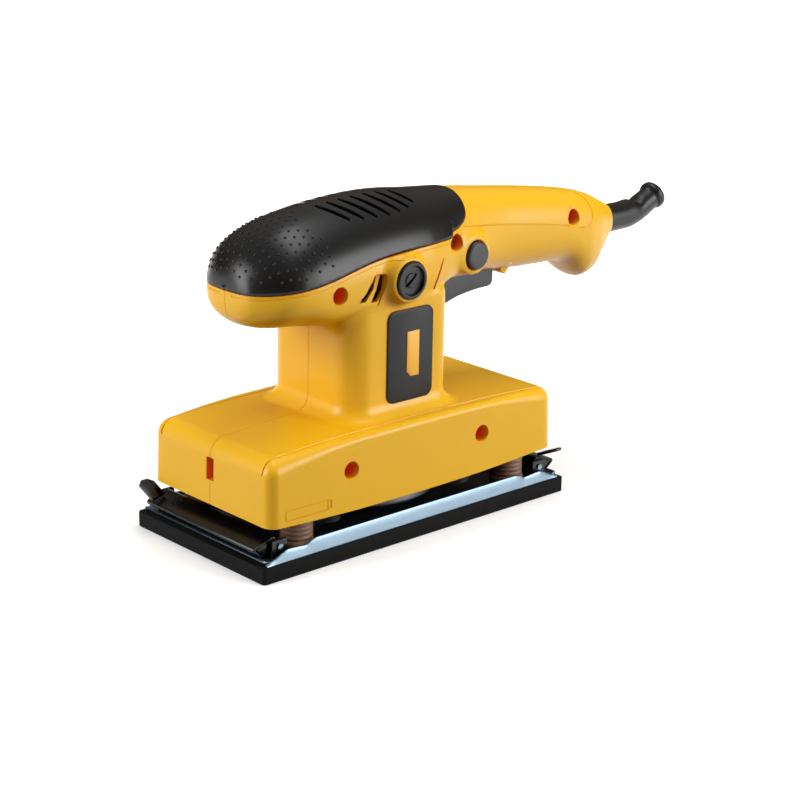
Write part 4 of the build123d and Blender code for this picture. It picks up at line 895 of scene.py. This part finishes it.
def shell_pair():
    """The two moulded shells."""
    s, material = sizes(), moulded_abs()
    low, high = (-87, -45, SKIRT_BOTTOM - 4.5), (HANDLE_X + 4, 45, 156)
    outer = skin(body_field, low, high, s.cell)
    inner = skin(body_field, (-85, -43, SKIRT_BOTTOM - 8), (HANDLE_X + 2, 43, 154), s.cell * 2.4, -s.wall)
    made = []
    linings, holes = screw_tools()
    for name, side in (("housing_left", -1), ("housing_right", 1)):
        shell = piece(name + "_moulded", *outer)
        carved(shell, piece("core", *inner))
        if side < 0:
            for lining in linings:
                carved(shell, lining, "UNION")
            for hole in holes:
                carved(shell, hole)
        backing = block("backing", (-SKIRT_HALF_LENGTH + 1.6, -6, SKIRT_BOTTOM + 7),
                        (-SKIRT_HALF_LENGTH + 6.5, 6, SKIRT_BOTTOM + 24))
        carved(shell, backing, "UNION")
        lip = side_bar("lip", [(82.2, 108), (83.0, 103.6), (85.9, 101.6), (88.6, 104.4), (91.5, 106)], -8.6,
                       8.6)
        carved(shell, softened(lip, 0.7, 2), "UNION")
        keep_y = (-60, -s.seam) if side < 0 else (s.seam, 60)
        rim = [(x, SKIRT_BOTTOM - float(bow(x))) for x in np.linspace(-120, 200, 65)]
        carved(shell, side_bar("half", rim + [(200, 200), (-120, 200)], *keep_y), "INTERSECT")
        carved(shell, cap_room())
        for tool in shell_tools(side):
            carved(shell, tool)
        made.append(polished(coated(shell, material), body_field))
    return made


def cap_room():
    """The space over the parting line, as a solid."""
    along = np.concatenate([np.linspace(-95, 39, 60), np.linspace(39.4, 54, 40)])
    across = np.linspace(-48, 48, 49)
    points, faces = [], []
    for y in across:
        for a in along:
            points.append((a - PARTING_BOW * y * y, y, float(parting(a)) - 0.02))
    base = len(points)
    for y in across:
        for a in along:
            points.append((a - PARTING_BOW * y * y, y, 190))
    n, m = len(along), len(across)
    for j in range(m - 1):
        for i in range(n - 1):
            k = j * n + i
            faces += [(k, k + 1, k + n + 1, k + n), (base + k, base + k + n, base + k + n + 1, base + k + 1)]
    for i in range(n - 1):
        faces += [(i, base + i, base + i + 1, i + 1),
                  ((m - 1) * n + i, (m - 1) * n + i + 1, base + (m - 1) * n + i + 1, base + (m - 1) * n + i)]
    for j in range(m - 1):
        faces += [(j * n, (j + 1) * n, base + (j + 1) * n, base + j * n),
                  (j * n + n - 1, base + j * n + n - 1, base + (j + 1) * n + n - 1, (j + 1) * n + n - 1)]
    return outward(piece("room", points, faces))


def cap_slot(x, half, side):
    """One curved cooling slot, cut straight down."""
    run = []
    for t in np.linspace(0, 1, 14):
        y = half - t * (half - 3.6)
        run.append((x - 9.6 * (1 - (y / 20) ** 2), side * y))
    left, right = [], []
    for i, (px, py) in enumerate(run):
        qx, qy = run[min(i + 1, len(run) - 1)]
        rx, ry = run[max(i - 1, 0)]
        ux, uy = qx - rx, qy - ry
        size = math.hypot(ux, uy)
        wide = 1.35 * math.sin(math.pi * (0.12 + 0.76 * i / (len(run) - 1))) ** 0.5
        left.append((px - uy / size * wide, py + ux / size * wide))
        right.append((px + uy / size * wide, py - ux / size * wide))
    outline = left + right[::-1]
    n = len(outline)
    points = [(px, py, 138) for px, py in outline] + [(px, py, 160) for px, py in outline]
    faces = [tuple(range(n)), tuple(range(2 * n - 1, n - 1, -1))] + [(i, (i + 1) % n, n + (i + 1) % n,
                                                                      n + i) for i in range(n)]
    return outward(piece("slot", points, faces))


def soft_cap():
    """The soft cap with its cooling slots, and the nubs on its nose."""
    s, material = sizes(), soft_grip()
    cap = piece("palm_grip_moulded", *skin(cap_field, (-80, -35, 114), (58, 35, 156), s.cell * 0.8))

    def hollow(x, y, z):
        return upper_field(x, y, z)[0]
    core = piece("core", *skin(hollow, (-78, -34, 106), (70, 34, 154), s.cell * 2.4, -1.8))
    carved(cap, core)
    for side in (-1, 1):
        for x, half in ((-20.2, 18.4), (-13.8, 19.4), (-7.0, 20.0), (0.0, 20.2), (7.4, 19.5), (14.8, 18.2),
                        (22.4, 15.5)):
            carved(cap, cap_slot(x, half, side))
    polished(coated(cap, material), cap_field)
    points, facing = nub_places()
    cloud = piece("nub places", points, [])
    stored = cloud.data.attributes.new("facing", "FLOAT_VECTOR", "POINT")
    stored.data.foreach_set("vector", facing.ravel().astype(np.float32))
    nubs = grown("palm_grip_nubs", nub_tree(material), {"Places": cloud, "Radius": s.nub_radius * MM,
                                                        "Height": 0.7}, material)
    bpy.data.objects.remove(cloud)
    return cap, nubs


class SANDER_OT_shells(bpy.types.Operator):
    """Build the two moulded shells"""
    bl_idname = "sander.shells"
    bl_label = "Shells"

    def execute(self, context):
        for shell, node in zip(shell_pair(), ("housing_left", "housing_right")):
            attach(shell, "housing")
            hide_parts(node)
        return {"FINISHED"}


class SANDER_OT_palm_grip(bpy.types.Operator):
    """Build the soft cap and its nubs"""
    bl_idname = "sander.palm_grip"
    bl_label = "Palm grip"

    def execute(self, context):
        cap, nubs = soft_cap()
        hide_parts("palm_grip")
        for obj in (cap, nubs):
            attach(obj, "housing")
        return {"FINISHED"}


def card(name, low, high, corner, thick, side, material, steps=8):
    """A flat plate with round corners on the side of the column; low and high are (x, z)."""
    outline = []
    for cx, cz, start in ((high[0] - corner, high[1] - corner, 0), (low[0] + corner, high[1] - corner, 90),
                          (low[0] + corner, low[1] + corner, 180), (high[0] - corner, low[1] + corner, 270)):
        for k in range(steps + 1):
            a = math.radians(start + 90 * k / steps)
            outline.append((cx + corner * math.cos(a), cz + corner * math.sin(a)))
    y = side * COLUMN_HALF_WIDTH
    plate = side_bar(name, outline, min(y, y + side * thick), max(y, y + side * thick), material)
    return softened(plate, min(0.3, thick * 0.45), 2)


class SANDER_OT_labels(bpy.types.Operator):
    """Build the side label with its blank badge, and the blank rating plate"""
    bl_idname = "sander.labels"
    bl_label = "Labels"

    def execute(self, context):
        low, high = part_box("label_plate")
        label = card("label_plate_foil", (low.x / MM, low.z / MM - 0.8), (high.x / MM, high.z / MM + 1.6),
                     4.2, 0.8, -1, label_foil())
        low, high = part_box("label_badge")
        x0, x1, z0, z1 = low.x / MM, high.x / MM, low.z / MM, high.z / MM - 2.4
        face = -COLUMN_HALF_WIDTH - 0.8
        badge = side_bar("label_badge_foil", [(x0 + 2.6, z0), (x1, z0), (x1, z1), (x0, z1), (x0, z0 + 2.6)],
                         face - 0.35, face, badge_foil())
        badge = softened(badge, 0.12, 2)
        low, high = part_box("rating_plate")
        rating = card("rating_plate_foil", (low.x / MM, low.z / MM), (high.x / MM, high.z / MM), 3, 0.5, 1,
                      rating_foil())
        for obj, node, slot in ((label, "label_plate", "label_charcoal"), (badge, "label_badge",
                                                                           "label_amber"),
                                (rating, "rating_plate", "label_silver")):
            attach(obj, "housing")
            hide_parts(node)
        return {"FINISHED"}


def brush_cap(side):
    """A screwed brush cap: rim, sunk face and a driver slot."""
    face = BRUSH_FACE
    profile = [(8.6, 0), (8.6, face - 33.2), (8.1, face - 32.7), (7.0, face - 32.6), (6.7, face - 33.1),
               (6.6, face - 34.2), (6.3, face - 34.4), (3.4, face - 34.4), (3.0, face - 33.9),
               (0.01, face - 33.8)]
    cap = turned_piece("cap", profile, (MOTOR_X, side * 32.4, BRUSH_Z), (0, side, 0), None, 72)
    cap = outward(cap)
    y0, y1 = sorted((side * (face - 3.1), side * (face + 3)))
    slot = block("slot", (-4.0, y0, -0.7), (4.0, y1, 0.7))
    slot.data.transform(Matrix.Translation((MOTOR_X * MM, 0,
                                            BRUSH_Z * MM)) @ Matrix.Rotation(math.radians(-38), 4, "Y"))
    return carved(cap, slot)


class SANDER_OT_brush_caps(bpy.types.Operator):
    """Build the two brush caps"""
    bl_idname = "sander.brush_caps"
    bl_label = "Brush caps"

    def execute(self, context):
        caps = joined("brush_caps_moulded", [softened(brush_cap(side), 0.22, 2)
                                             for side in (-1, 1)], phenolic())
        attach(caps, "housing")
        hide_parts("brush_caps")
        return {"FINISHED"}


class SANDER_OT_screws(bpy.types.Operator):
    """Build the cross-headed housing screws at the foot of their recesses"""
    bl_idname = "sander.screws"
    bl_label = "Screws"

    def execute(self, context):
        made = []
        for x, z, depth in SCREW_PLACES:
            seat = on_side(x, z, -1)[1] + depth
            head = turned_piece("head", [(3.3, 0.6), (3.3, -0.9), (2.7, -1.8), (1.4, -2.3), (0.01, -2.4)],
                                (x, seat, z), (0, 1, 0), None, 40)
            for turn in (20, 110):
                cross = block("cross", (-2.0, -0.2, -0.45), (2.0, 1.4, 0.45))
                cross.data.transform(Matrix.Translation((x * MM, (seat - 2.6) * MM, z * MM))
                                     @ Matrix.Rotation(math.radians(turn), 4, "Y"))
                carved(head, cross)
            made.append(head)
        screws = joined("housing_screws_plated", made, screw_steel())
        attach(screws, "housing")
        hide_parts("housing_screws")
        return {"FINISHED"}


class SANDER_OT_trigger(bpy.types.Operator):
    """Build the trigger blade"""
    bl_idname = "sander.trigger"
    bl_label = "Trigger"

    def execute(self, context):
        low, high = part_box("trigger")
        x0, x1 = low.x / MM, high.x / MM
        rear = x1 - 8.2
        edge = flowing([(x0, 87.4), (41, 91.0), (48, 93.2), (57, 95.5), (69, 96.9), (rear - 1.6, 97.2)])
        under = [(x, float(edge(x))) for x in np.linspace(x0, rear - 3, 40)]
        turn = [(rear - 3 + 3 * math.sin(a), 100.2 - 3 * math.cos(a))
                for a in np.linspace(0.25, math.pi / 2, 9)]
        upper = [(rear, 107), (rear - 1, 110.6), (x0 + 10, 110.2), (x0 + 0.5, 108.8)]
        blade = side_bar("trigger_moulded", under + turn + upper, -7.5, 7.5, moulded_charcoal(), 30)
        blade = softened(blade, 1.1, 3)
        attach(blade, "trigger")
        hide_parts("trigger")
        return {"FINISHED"}


class SANDER_OT_lock_button(bpy.types.Operator):
    """Build the lock-on button"""
    bl_idname = "sander.lock_button"
    bl_label = "Lock button"

    def execute(self, context):
        depth = -BUTTON_FACE - 12.2
        profile = [(2.4, 0), (2.4, depth - 8.6), (6.55, depth - 8.4), (6.55, depth - 0.9),
                   (6.2, depth - 0.3), (5.5, depth), (3.0, depth - 0.16), (0.01, depth - 0.22)]
        button = turned_piece("lock_button_moulded", profile, (BUTTON_X, -12.2, BUTTON_Z), (0, -1, 0),
                              moulded_charcoal(), 72, 40)
        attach(button, "lock_button")
        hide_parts("lock_button")
        return {"FINISHED"}


class SANDER_OT_boot(bpy.types.Operator):
    """Build the cord boot with its kink and rolled mouth"""
    bl_idname = "sander.boot"
    bl_label = "Cord boot"

    def execute(self, context):
        x, z = HANDLE_X, 116.8
        line = [(x - 11, z), (x - 4, z), (x + 2, z), (x + 9, z), (x + 15.5, z + 0.1), (x + 22, z + 1.0),
                (x + 27.5, z + 2.7), (x + 32.5, z + 4.9), (x + 37, z + 7.1), (x + 39, z + 8.1)]
        wide = [7.15, 7.2, 7.2, 7.15, 7.1, 6.8, 6.4, 6.1, 6.0, 6.0]
        t = np.arange(len(line))
        fine = np.linspace(0, len(line) - 1, 90)
        xs, zs, rs = (flowing(list(zip(t, v)))(fine).tolist() for v in ([p[0] for p in line],
                                                                        [p[1] for p in line], wide))
        points, faces, steps = [], [], 56
        ends = [Vector((a, 0, b)) for a, b in zip(xs, zs)]
        for i, p in enumerate(ends):
            along = (ends[min(i + 1, len(ends) - 1)] - ends[max(i - 1, 0)]).normalized()
            up = Vector((-along.z, 0, along.x))
            kink = math.exp(-((xs[i] - (x + 24.5)) / 2.8) ** 2)
            back = math.exp(-((xs[i] - (x + 18.5)) / 3.6) ** 2)
            for k in range(steps):
                a = 2 * math.pi * k / steps
                top = max(0.0, math.sin(a)) ** 2
                r = rs[i] * (1 - 0.24 * kink * top + 0.07 * back * top)
                points.append(p + float(r) * (math.cos(a) * Vector((0, 1, 0)) + math.sin(a) * up))
        for i in range(len(ends) - 1):
            for k in range(steps):
                m = (k + 1) % steps
                faces.append((i * steps + k, i * steps + m, (i + 1) * steps + m, (i + 1) * steps + k))
        faces += [tuple(range(steps - 1, -1, -1)), tuple(range((len(ends) - 1) * steps, len(ends) * steps))]
        sleeve = outward(piece("sleeve", points, faces))
        along = (ends[-1] - ends[-2]).normalized()
        tip = ends[-1] + along * 1.2
        rim = turned_piece("rim", [(4.6, -6.2), (6.1, -5.6), (6.7, -4.8), (7.2, -3.6), (7.3, -2.2),
                                   (7.0, -1.0), (6.2, -0.2), (5.2, 0), (4.2, 0)],
                           tip, along, None, 56)
        carved(sleeve, rim, "UNION")
        mouth = rod("mouth", 3.5, tip - along * 14, tip + along * 3)
        carved(sleeve, mouth)
        inlet = rod("inlet", 3.4, (x - 14, 0, z), (x + 18, 0, z))
        carved(sleeve, inlet)
        sleeve.name = "cord_boot_moulded"
        smooth(coated(sleeve, boot_rubber()), 40)
        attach(sleeve, "housing")
        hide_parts("cord_boot")
        return {"FINISHED"}


def rounded_plate(name, half_x, half_y, corner, z0, z1, material, edge_top, edge_low):
    """A plate with round corners and softened edges."""
    rings, steps = [], 10
    for z, inset in ((z0, edge_low), (z0 + edge_low * 0.3, edge_low * 0.3), (z0 + edge_low, 0),
                     (z1 - edge_top, 0),
                     (z1 - edge_top * 0.3, edge_top * 0.3), (z1, edge_top)):
        ring = []
        for cx, cy, start in ((1, 1, 0), (-1, 1, 90), (-1, -1, 180), (1, -1, 270)):
            for k in range(steps + 1):
                a = math.radians(start + 90 * k / steps)
                ring.append((cx * (half_x - corner) + (corner - inset) * math.cos(a),
                             cy * (half_y - corner) + (corner - inset) * math.sin(a), z))
        rings.append(ring)
    n = len(rings[0])
    points = [p for ring in rings for p in ring]
    faces = [tuple(range(n - 1, -1, -1)), tuple(range((len(rings) - 1) * n, len(rings) * n))]
    for r in range(len(rings) - 1):
        for k in range(n):
            m = (k + 1) % n
            faces.append((r * n + k, r * n + m, (r + 1) * n + m, (r + 1) * n + k))
    return outward(piece(name, points, faces, material, 40))


def flange_line():
    """Side view of a flange's top edge, from the middle to the end of the plate."""
    top = near("base_plate", 1, 2)
    return flowing([(0, top), (61.0, top), (64.5, top - 0.8), (68.0, top - 2.1), (72.0, top - 1.8),
                    (77.5, top - 1.5), (81.0, top - 2.6), (85.5, top - 4.6), (89.5, top - 5.7)])


def flange(side):
    """One upstanding side of the plate, with its waved end and a slight lean outwards."""
    line = flange_line()
    foot = near("foam_pad", 1, 2)
    outer = near("base_plate", 1, 1)
    xs = np.concatenate([-np.linspace(89.5, 60, 60), np.linspace(-58, 58, 30), np.linspace(60, 89.5, 60)])
    points, faces = [], []
    for x in xs:
        top = float(line(abs(x)))
        rise = top - foot
        section = [(outer, foot), (outer - 0.25, foot + rise * 0.5), (outer - 0.5, top - 0.45),
                   (outer - 0.75, top - 0.08), (outer - 1.15, top), (outer - 1.5, top - 0.3),
                   (outer - 1.5, foot)]
        points += [(x, side * y, z) for y, z in section]
    n = 7
    for i in range(len(xs) - 1):
        for k in range(n):
            m = (k + 1) % n
            faces.append((i * n + k, i * n + m, (i + 1) * n + m, (i + 1) * n + k))
    faces += [tuple(range(n - 1, -1, -1)), tuple(range((len(xs) - 1) * n, len(xs) * n))]
    return outward(piece("flange", points, faces))


class SANDER_OT_pad(bpy.types.Operator):
    """Build the rubber sole and the folded steel plate"""
    bl_idname = "sander.pad"
    bl_label = "Pad"

    def execute(self, context):
        low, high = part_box("foam_pad")
        foam = rounded_plate("foam_pad_rubber", high.x / MM, high.y / MM, 1.8, low.z / MM, high.z / MM,
                             pad_foam(), 0.7, 0.4)
        foot, top = near("foam_pad", 1, 2), near("foam_pad", 1, 2) + 1.5
        reach = near("base_plate", 1, 0)
        parts = [flange(-1), flange(1)]
        floor = rounded_plate("floor", reach - 2.2, near("base_plate", 1, 1) - 1.2, 2.0, foot, top, None, 0.3,
                              0.3)
        parts.append(floor)
        for sign in (-1, 1):
            curl = [(reach - 4.0, foot + 0.15), (reach - 2.0, foot + 0.35), (reach - 0.5, foot + 1.3),
                    (reach - 0.1, foot + 2.0), (reach - 0.9, foot + 2.4), (reach - 1.7, foot + 1.9),
                    (reach - 3.0, foot + 1.5), (reach - 4.4, foot + 1.45)]
            bar = side_bar("curl", [(sign * a, b) for a, b in curl], -43.2, 43.2)
            parts.append(softened(bar, 0.18, 2))
        plate = joined("base_plate_folded", parts, zinc_plate(), 40)
        for obj, node, slot in ((foam, "foam_pad", "foam_black"), (plate, "base_plate", "plated_steel")):
            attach(obj, "pad")
            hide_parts(node)
        return {"FINISHED"}


def clamp_flap():
    """The front clamp: rolled lip, jaw with teeth, cheeks, a finger ear and the pin's eyes."""
    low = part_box("front_clamp")[0]
    px, pz = near("clamp_pins", 0, 0) + 1.3, (near("clamp_pins", 0, 2) + near("clamp_pins", 1, 2)) / 2
    span = -low.y / MM
    jaw = near("foam_pad", 1, 2) + 1.5 + 1.2
    outer = [(-87.8, jaw - 0.4), (-90.0, jaw + 1.0), (-92.1, 12.9), (-92.5, 13.7), (-92.2, 14.5),
             (-91.3, 15.0), (-86, 16.2), (px - 1.5, 17.6), (px, 17.3), (px + 0.3, 16.6), (px - 0.2, 16.2),
             (px - 1.6, 16.5), (-86, 15.1), (-90.6, 14.0), (-91.0, 13.5), (-88.9, jaw + 1.1),
             (-86.6, jaw - 0.4)]
    parts = [softened(side_bar("flap", outer, -span, span), 0.22, 2)]
    cheek = [(-91.2, 14.6), (px - 1.5, 17.4), (px + 2.2, 15.4), (px + 2.6, 13.8), (px + 1.8, 11.9),
             (-87.0, jaw + 0.3)]
    for side in (-1, 1):
        y0, y1 = sorted((side * span, side * (span - 1.2)))
        parts.append(softened(side_bar("cheek", cheek, y0, y1), 0.3, 2))
        stem = turned_piece("eye", [(1.34, 0), (2.4, 0), (2.4, 9), (1.34, 9), (1.34, 0)],
                            (px, side * (span - 1.2), pz),
                            (0, -side, 0), None, 32)
        parts.append(stem)
    size, cut = 8.2, 2.4
    shape = [(-size / 2, -size / 2 - 5.5), (size / 2, -size / 2 - 3.2), (size / 2, size / 2 - cut),
             (size / 2 - cut, size / 2), (-size / 2 + cut, size / 2), (-size / 2, size / 2 - cut)]
    n = len(shape)
    points = [(a, b, c) for c in (0, 1.5) for a, b in shape]
    faces = [tuple(range(n)), tuple(range(2 * n - 1, n - 1, -1))] + [(i, (i + 1) % n, n + (i + 1) % n,
                                                                      n + i) for i in range(n)]
    ear = outward(piece("ear", points, faces))
    ear.data.transform(Matrix.Translation((-89.4 * MM, (span + 3.0) * MM,
                                           19.3 * MM)) @ Matrix.Rotation(math.radians(23.5), 4, "X"))
    parts.append(softened(ear, 0.45, 3))
    pitch = (2 * span - 4) / sizes().teeth
    tooth = side_bar("tooth", [(-0.7, 0.5), (0.5, 0.5), (0.2, -1.0), (-0.4, -1.0)], -pitch * 0.32,
                     pitch * 0.32)
    steel = black_steel()
    teeth = row_tree("clamp teeth", steel, sizes().teeth, (0, pitch, 0), (-87.3, -span + 2 + pitch / 2,
                                                                          jaw - 0.3), tooth)
    parts.append(teeth)
    return joined("front_clamp_pressed", parts, steel, 40)


class SANDER_OT_clamps(bpy.types.Operator):
    """Build both paper clamps: the rear one is the front one turned half round"""
    bl_idname = "sander.clamps"
    bl_label = "Paper clamps"

    def execute(self, context):
        front = clamp_flap()
        rear = bpy.data.objects.new("rear_clamp_pressed", front.data.copy())
        bpy.context.scene.collection.objects.link(rear)
        rear.data.transform(Matrix.Rotation(math.pi, 4, "Z"))
        for obj, body in ((front, "front_clamp"), (rear, "rear_clamp")):
            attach(obj, body)
            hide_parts(body)
        return {"FINISHED"}


class SANDER_OT_legs(bpy.types.Operator):
    """Build the four ribbed elastomer legs"""
    bl_idname = "sander.legs"
    bl_label = "Legs"

    def execute(self, context):
        low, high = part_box("elastomer_legs")
        foot, top, reach = low.z / MM, high.z / MM, 8.0
        x, y = high.x / MM - reach, high.y / MM - reach
        rise = SKIRT_BOTTOM - 0.4 - foot - 3.4
        ribs = sizes().rib_count
        profile = [(0.01, 0), (7.6, 0), (8.0, 0.5), (8.0, 2.4), (7.5, 3.0)]
        for k in range(ribs):
            base = 3.4 + rise * k / ribs
            step = rise / ribs
            profile += [(7.0, base), (7.0, base + step * 0.2), (7.4, base + step * 0.45),
                        (7.4, base + step * 0.75)]
        profile += [(6.2, SKIRT_BOTTOM - 0.4 - foot), (6.15, top - foot - 0.4), (5.8, top - foot),
                    (0.01, top - foot)]
        made = [turned_piece("leg", profile, (sx * x, sy * y, foot), (0, 0, 1), None, 48, 50)
                for sx in (-1, 1) for sy in (-1, 1)]
        legs = joined("elastomer_legs_moulded", made, leg_rubber(), 50)
        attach(legs, "housing")
        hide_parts("elastomer_legs")
        return {"FINISHED"}


class SANDER_OT_inner(bpy.types.Operator):
    """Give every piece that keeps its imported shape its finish"""
    bl_idname = "sander.inner"
    bl_label = "Inner pieces"

    def execute(self, context):
        record = frame["record"]
        kinds = {m["slot"]: m["class"] for m in record["materials"]}
        slots = {s["node"]: s["material_slot"] for s in record["subparts"]}
        for name, obj in frame["nodes"].items():
            material = inner_finish(kinds.get(slots.get(name), "matte_plastic"))
            if name == "clamp_pins":
                material = zinc_plate()
            if name == "clamp_brackets":
                material = black_steel()
            for index in range(max(1, len(obj.material_slots))):
                if index < len(obj.material_slots):
                    obj.material_slots[index].material = material
                else:
                    obj.data.materials.append(material)
        return {"FINISHED"}


def soft_light(name, place, aim, size, power, tint=(1, 1, 1)):
    data = bpy.data.lights.new(name, "AREA")
    data.shape, data.size, data.size_y = "RECTANGLE", size[0], size[1]
    data.energy, data.color = power, tint
    obj = bpy.data.objects.new(name, data)
    bpy.context.scene.collection.objects.link(obj)
    obj.location = place
    obj.rotation_euler = (Vector(aim) - Vector(place)).to_track_quat("-Z", "Y").to_euler()
    return obj


# the stage: the floor in millimetres, the camera's place in metres, its angles (round, up, tilted) in degrees
FLOOR_HALF, FLOOR_THICK = 6000, 20
CAMERA_ANGLES = (-42.51, 17.75, 1.05)
CAMERA_AIM, CAMERA_AWAY = (0.02673, 0, 0.04792), 0.9476
CAMERA_LENS, CAMERA_SENSOR = 90.0, 36.0


class SANDER_OT_stage(bpy.types.Operator):
    """Build the floor, the studio lights and the camera"""
    bl_idname = "sander.stage"
    bl_label = "Stage"

    def execute(self, context):
        scene = bpy.context.scene
        floor = block("floor", (-FLOOR_HALF, -FLOOR_HALF, -FLOOR_THICK), (FLOOR_HALF, FLOOR_HALF, 0))
        material = bpy.data.materials.new("Acrylic sheet white")
        material.use_nodes = True
        shader = material.node_tree.nodes["Principled BSDF"]
        shader.inputs["Base Color"].default_value = (0.93, 0.93, 0.935, 1)
        shader.inputs["Roughness"].default_value = 0.22
        shader.inputs["Emission Color"].default_value = (1, 1, 1, 1)
        tree = material.node_tree
        place = add(tree, "ShaderNodeTexCoord")
        far = add(tree, "ShaderNodeVectorMath", {"operation": "LENGTH"}, _0=place.outputs["Object"])
        # painted light: the floor glows by itself, faint (0.24) near the sander and white (1.05) 0.6 m away,
        # which paints a shade round the sander
        glow = add(tree, "ShaderNodeMapRange", {"From Min": 0.09, "From Max": 0.6, "To Min": 0.24,
                                                "To Max": 1.05},
                   Value=far.outputs["Value"])
        tree.links.new(glow.outputs[0], shader.inputs["Emission Strength"])
        floor.data.materials.append(material)
        floor.visible_diffuse = False
        world = bpy.data.worlds.new("Studio")
        world.use_nodes = True
        sky = world.node_tree
        ray = add(sky, "ShaderNodeTexCoord")
        parts = add(sky, "ShaderNodeSeparateXYZ", Vector=ray.outputs["Generated"])
        height = add(sky, "ShaderNodeMapRange", {"From Min": 0.1, "From Max": 0.85}, Value=parts.outputs["Z"])
        power = add(sky, "ShaderNodeMapRange", {"To Min": 0.06, "To Max": 0.62}, Value=height.outputs[0])
        tint = add(sky, "ShaderNodeMix", {"data_type": "RGBA"}, _0=height.outputs[0])
        tint.inputs[6].default_value, tint.inputs[7].default_value = (1, 0.72, 0.5, 1), (1, 1, 1, 1)
        sky.links.new(tint.outputs[2], sky.nodes["Background"].inputs[0])
        sky.links.new(power.outputs[0], sky.nodes["Background"].inputs[1])
        scene.world = world
        aim = (0.02, 0, 0.07)
        soft_light("Left bank", (-1.3, 0.55, 0.5), aim, (0.6, 0.9), 18)
        soft_light("Right bank", (0.85, -1.15, 0.5), aim, (0.8, 0.8), 19)
        soft_light("Top bank", (0.25, 0.0, 1.4), aim, (0.9, 0.4), 7)
        data = bpy.data.cameras.new("Camera")
        data.lens, data.sensor_width = CAMERA_LENS, CAMERA_SENSOR
        data.clip_start, data.clip_end = 0.01, 50
        camera = bpy.data.objects.new("Camera", data)
        scene.collection.objects.link(camera)
        azimuth, rise, roll = (math.radians(angle) for angle in CAMERA_ANGLES)
        back = Vector((math.sin(azimuth) * math.cos(rise), -math.cos(azimuth) * math.cos(rise),
                       math.sin(rise)))
        camera.location = Vector(CAMERA_AIM) + back * CAMERA_AWAY
        look = (-back).to_track_quat("-Z", "Y") @ Quaternion((0, 0, 1), roll)
        camera.rotation_euler = look.to_euler()
        scene.camera = camera
        scene.view_settings.view_transform = "Standard"
        return {"FINISHED"}


PIECES = (SANDER_OT_inner, SANDER_OT_shells, SANDER_OT_palm_grip, SANDER_OT_labels, SANDER_OT_brush_caps,
          SANDER_OT_screws, SANDER_OT_trigger, SANDER_OT_lock_button, SANDER_OT_boot, SANDER_OT_pad,
          SANDER_OT_clamps, SANDER_OT_legs)


class SANDER_PT_panel(bpy.types.Panel):
    """The sander's pieces, one button each"""
    bl_label = "Orbital sander"
    bl_idname = "SANDER_PT_panel"
    bl_space_type = "VIEW_3D"
    bl_region_type = "UI"
    bl_category = "Sander"

    def draw(self, context):
        column = self.layout.column()
        for operator in (SANDER_OT_stage,) + PIECES:
            column.operator(operator.bl_idname)
        for group in (context.scene.sander_sizes, context.scene.sander_colours):
            for key in group.bl_rna.properties.keys():
                if key not in ("rna_type", "name"):
                    column.prop(group, key)


CLASSES = (SANDER_PG_sizes, SANDER_PG_colours, SANDER_OT_stage) + PIECES + (SANDER_PT_panel,)


def register():
    for item in CLASSES:
        bpy.utils.register_class(item)
    bpy.types.Scene.sander_sizes = bpy.props.PointerProperty(type=SANDER_PG_sizes)
    bpy.types.Scene.sander_colours = bpy.props.PointerProperty(type=SANDER_PG_colours)


def unregister():
    del bpy.types.Scene.sander_sizes
    del bpy.types.Scene.sander_colours
    for item in reversed(CLASSES):
        bpy.utils.unregister_class(item)


def main():
    import json
    register()
    bpy.ops.sander.stage()
    for operator in PIECES:
        getattr(bpy.ops.sander, operator.bl_idname.split(".")[1])()


if __name__ == "__main__":
    main()
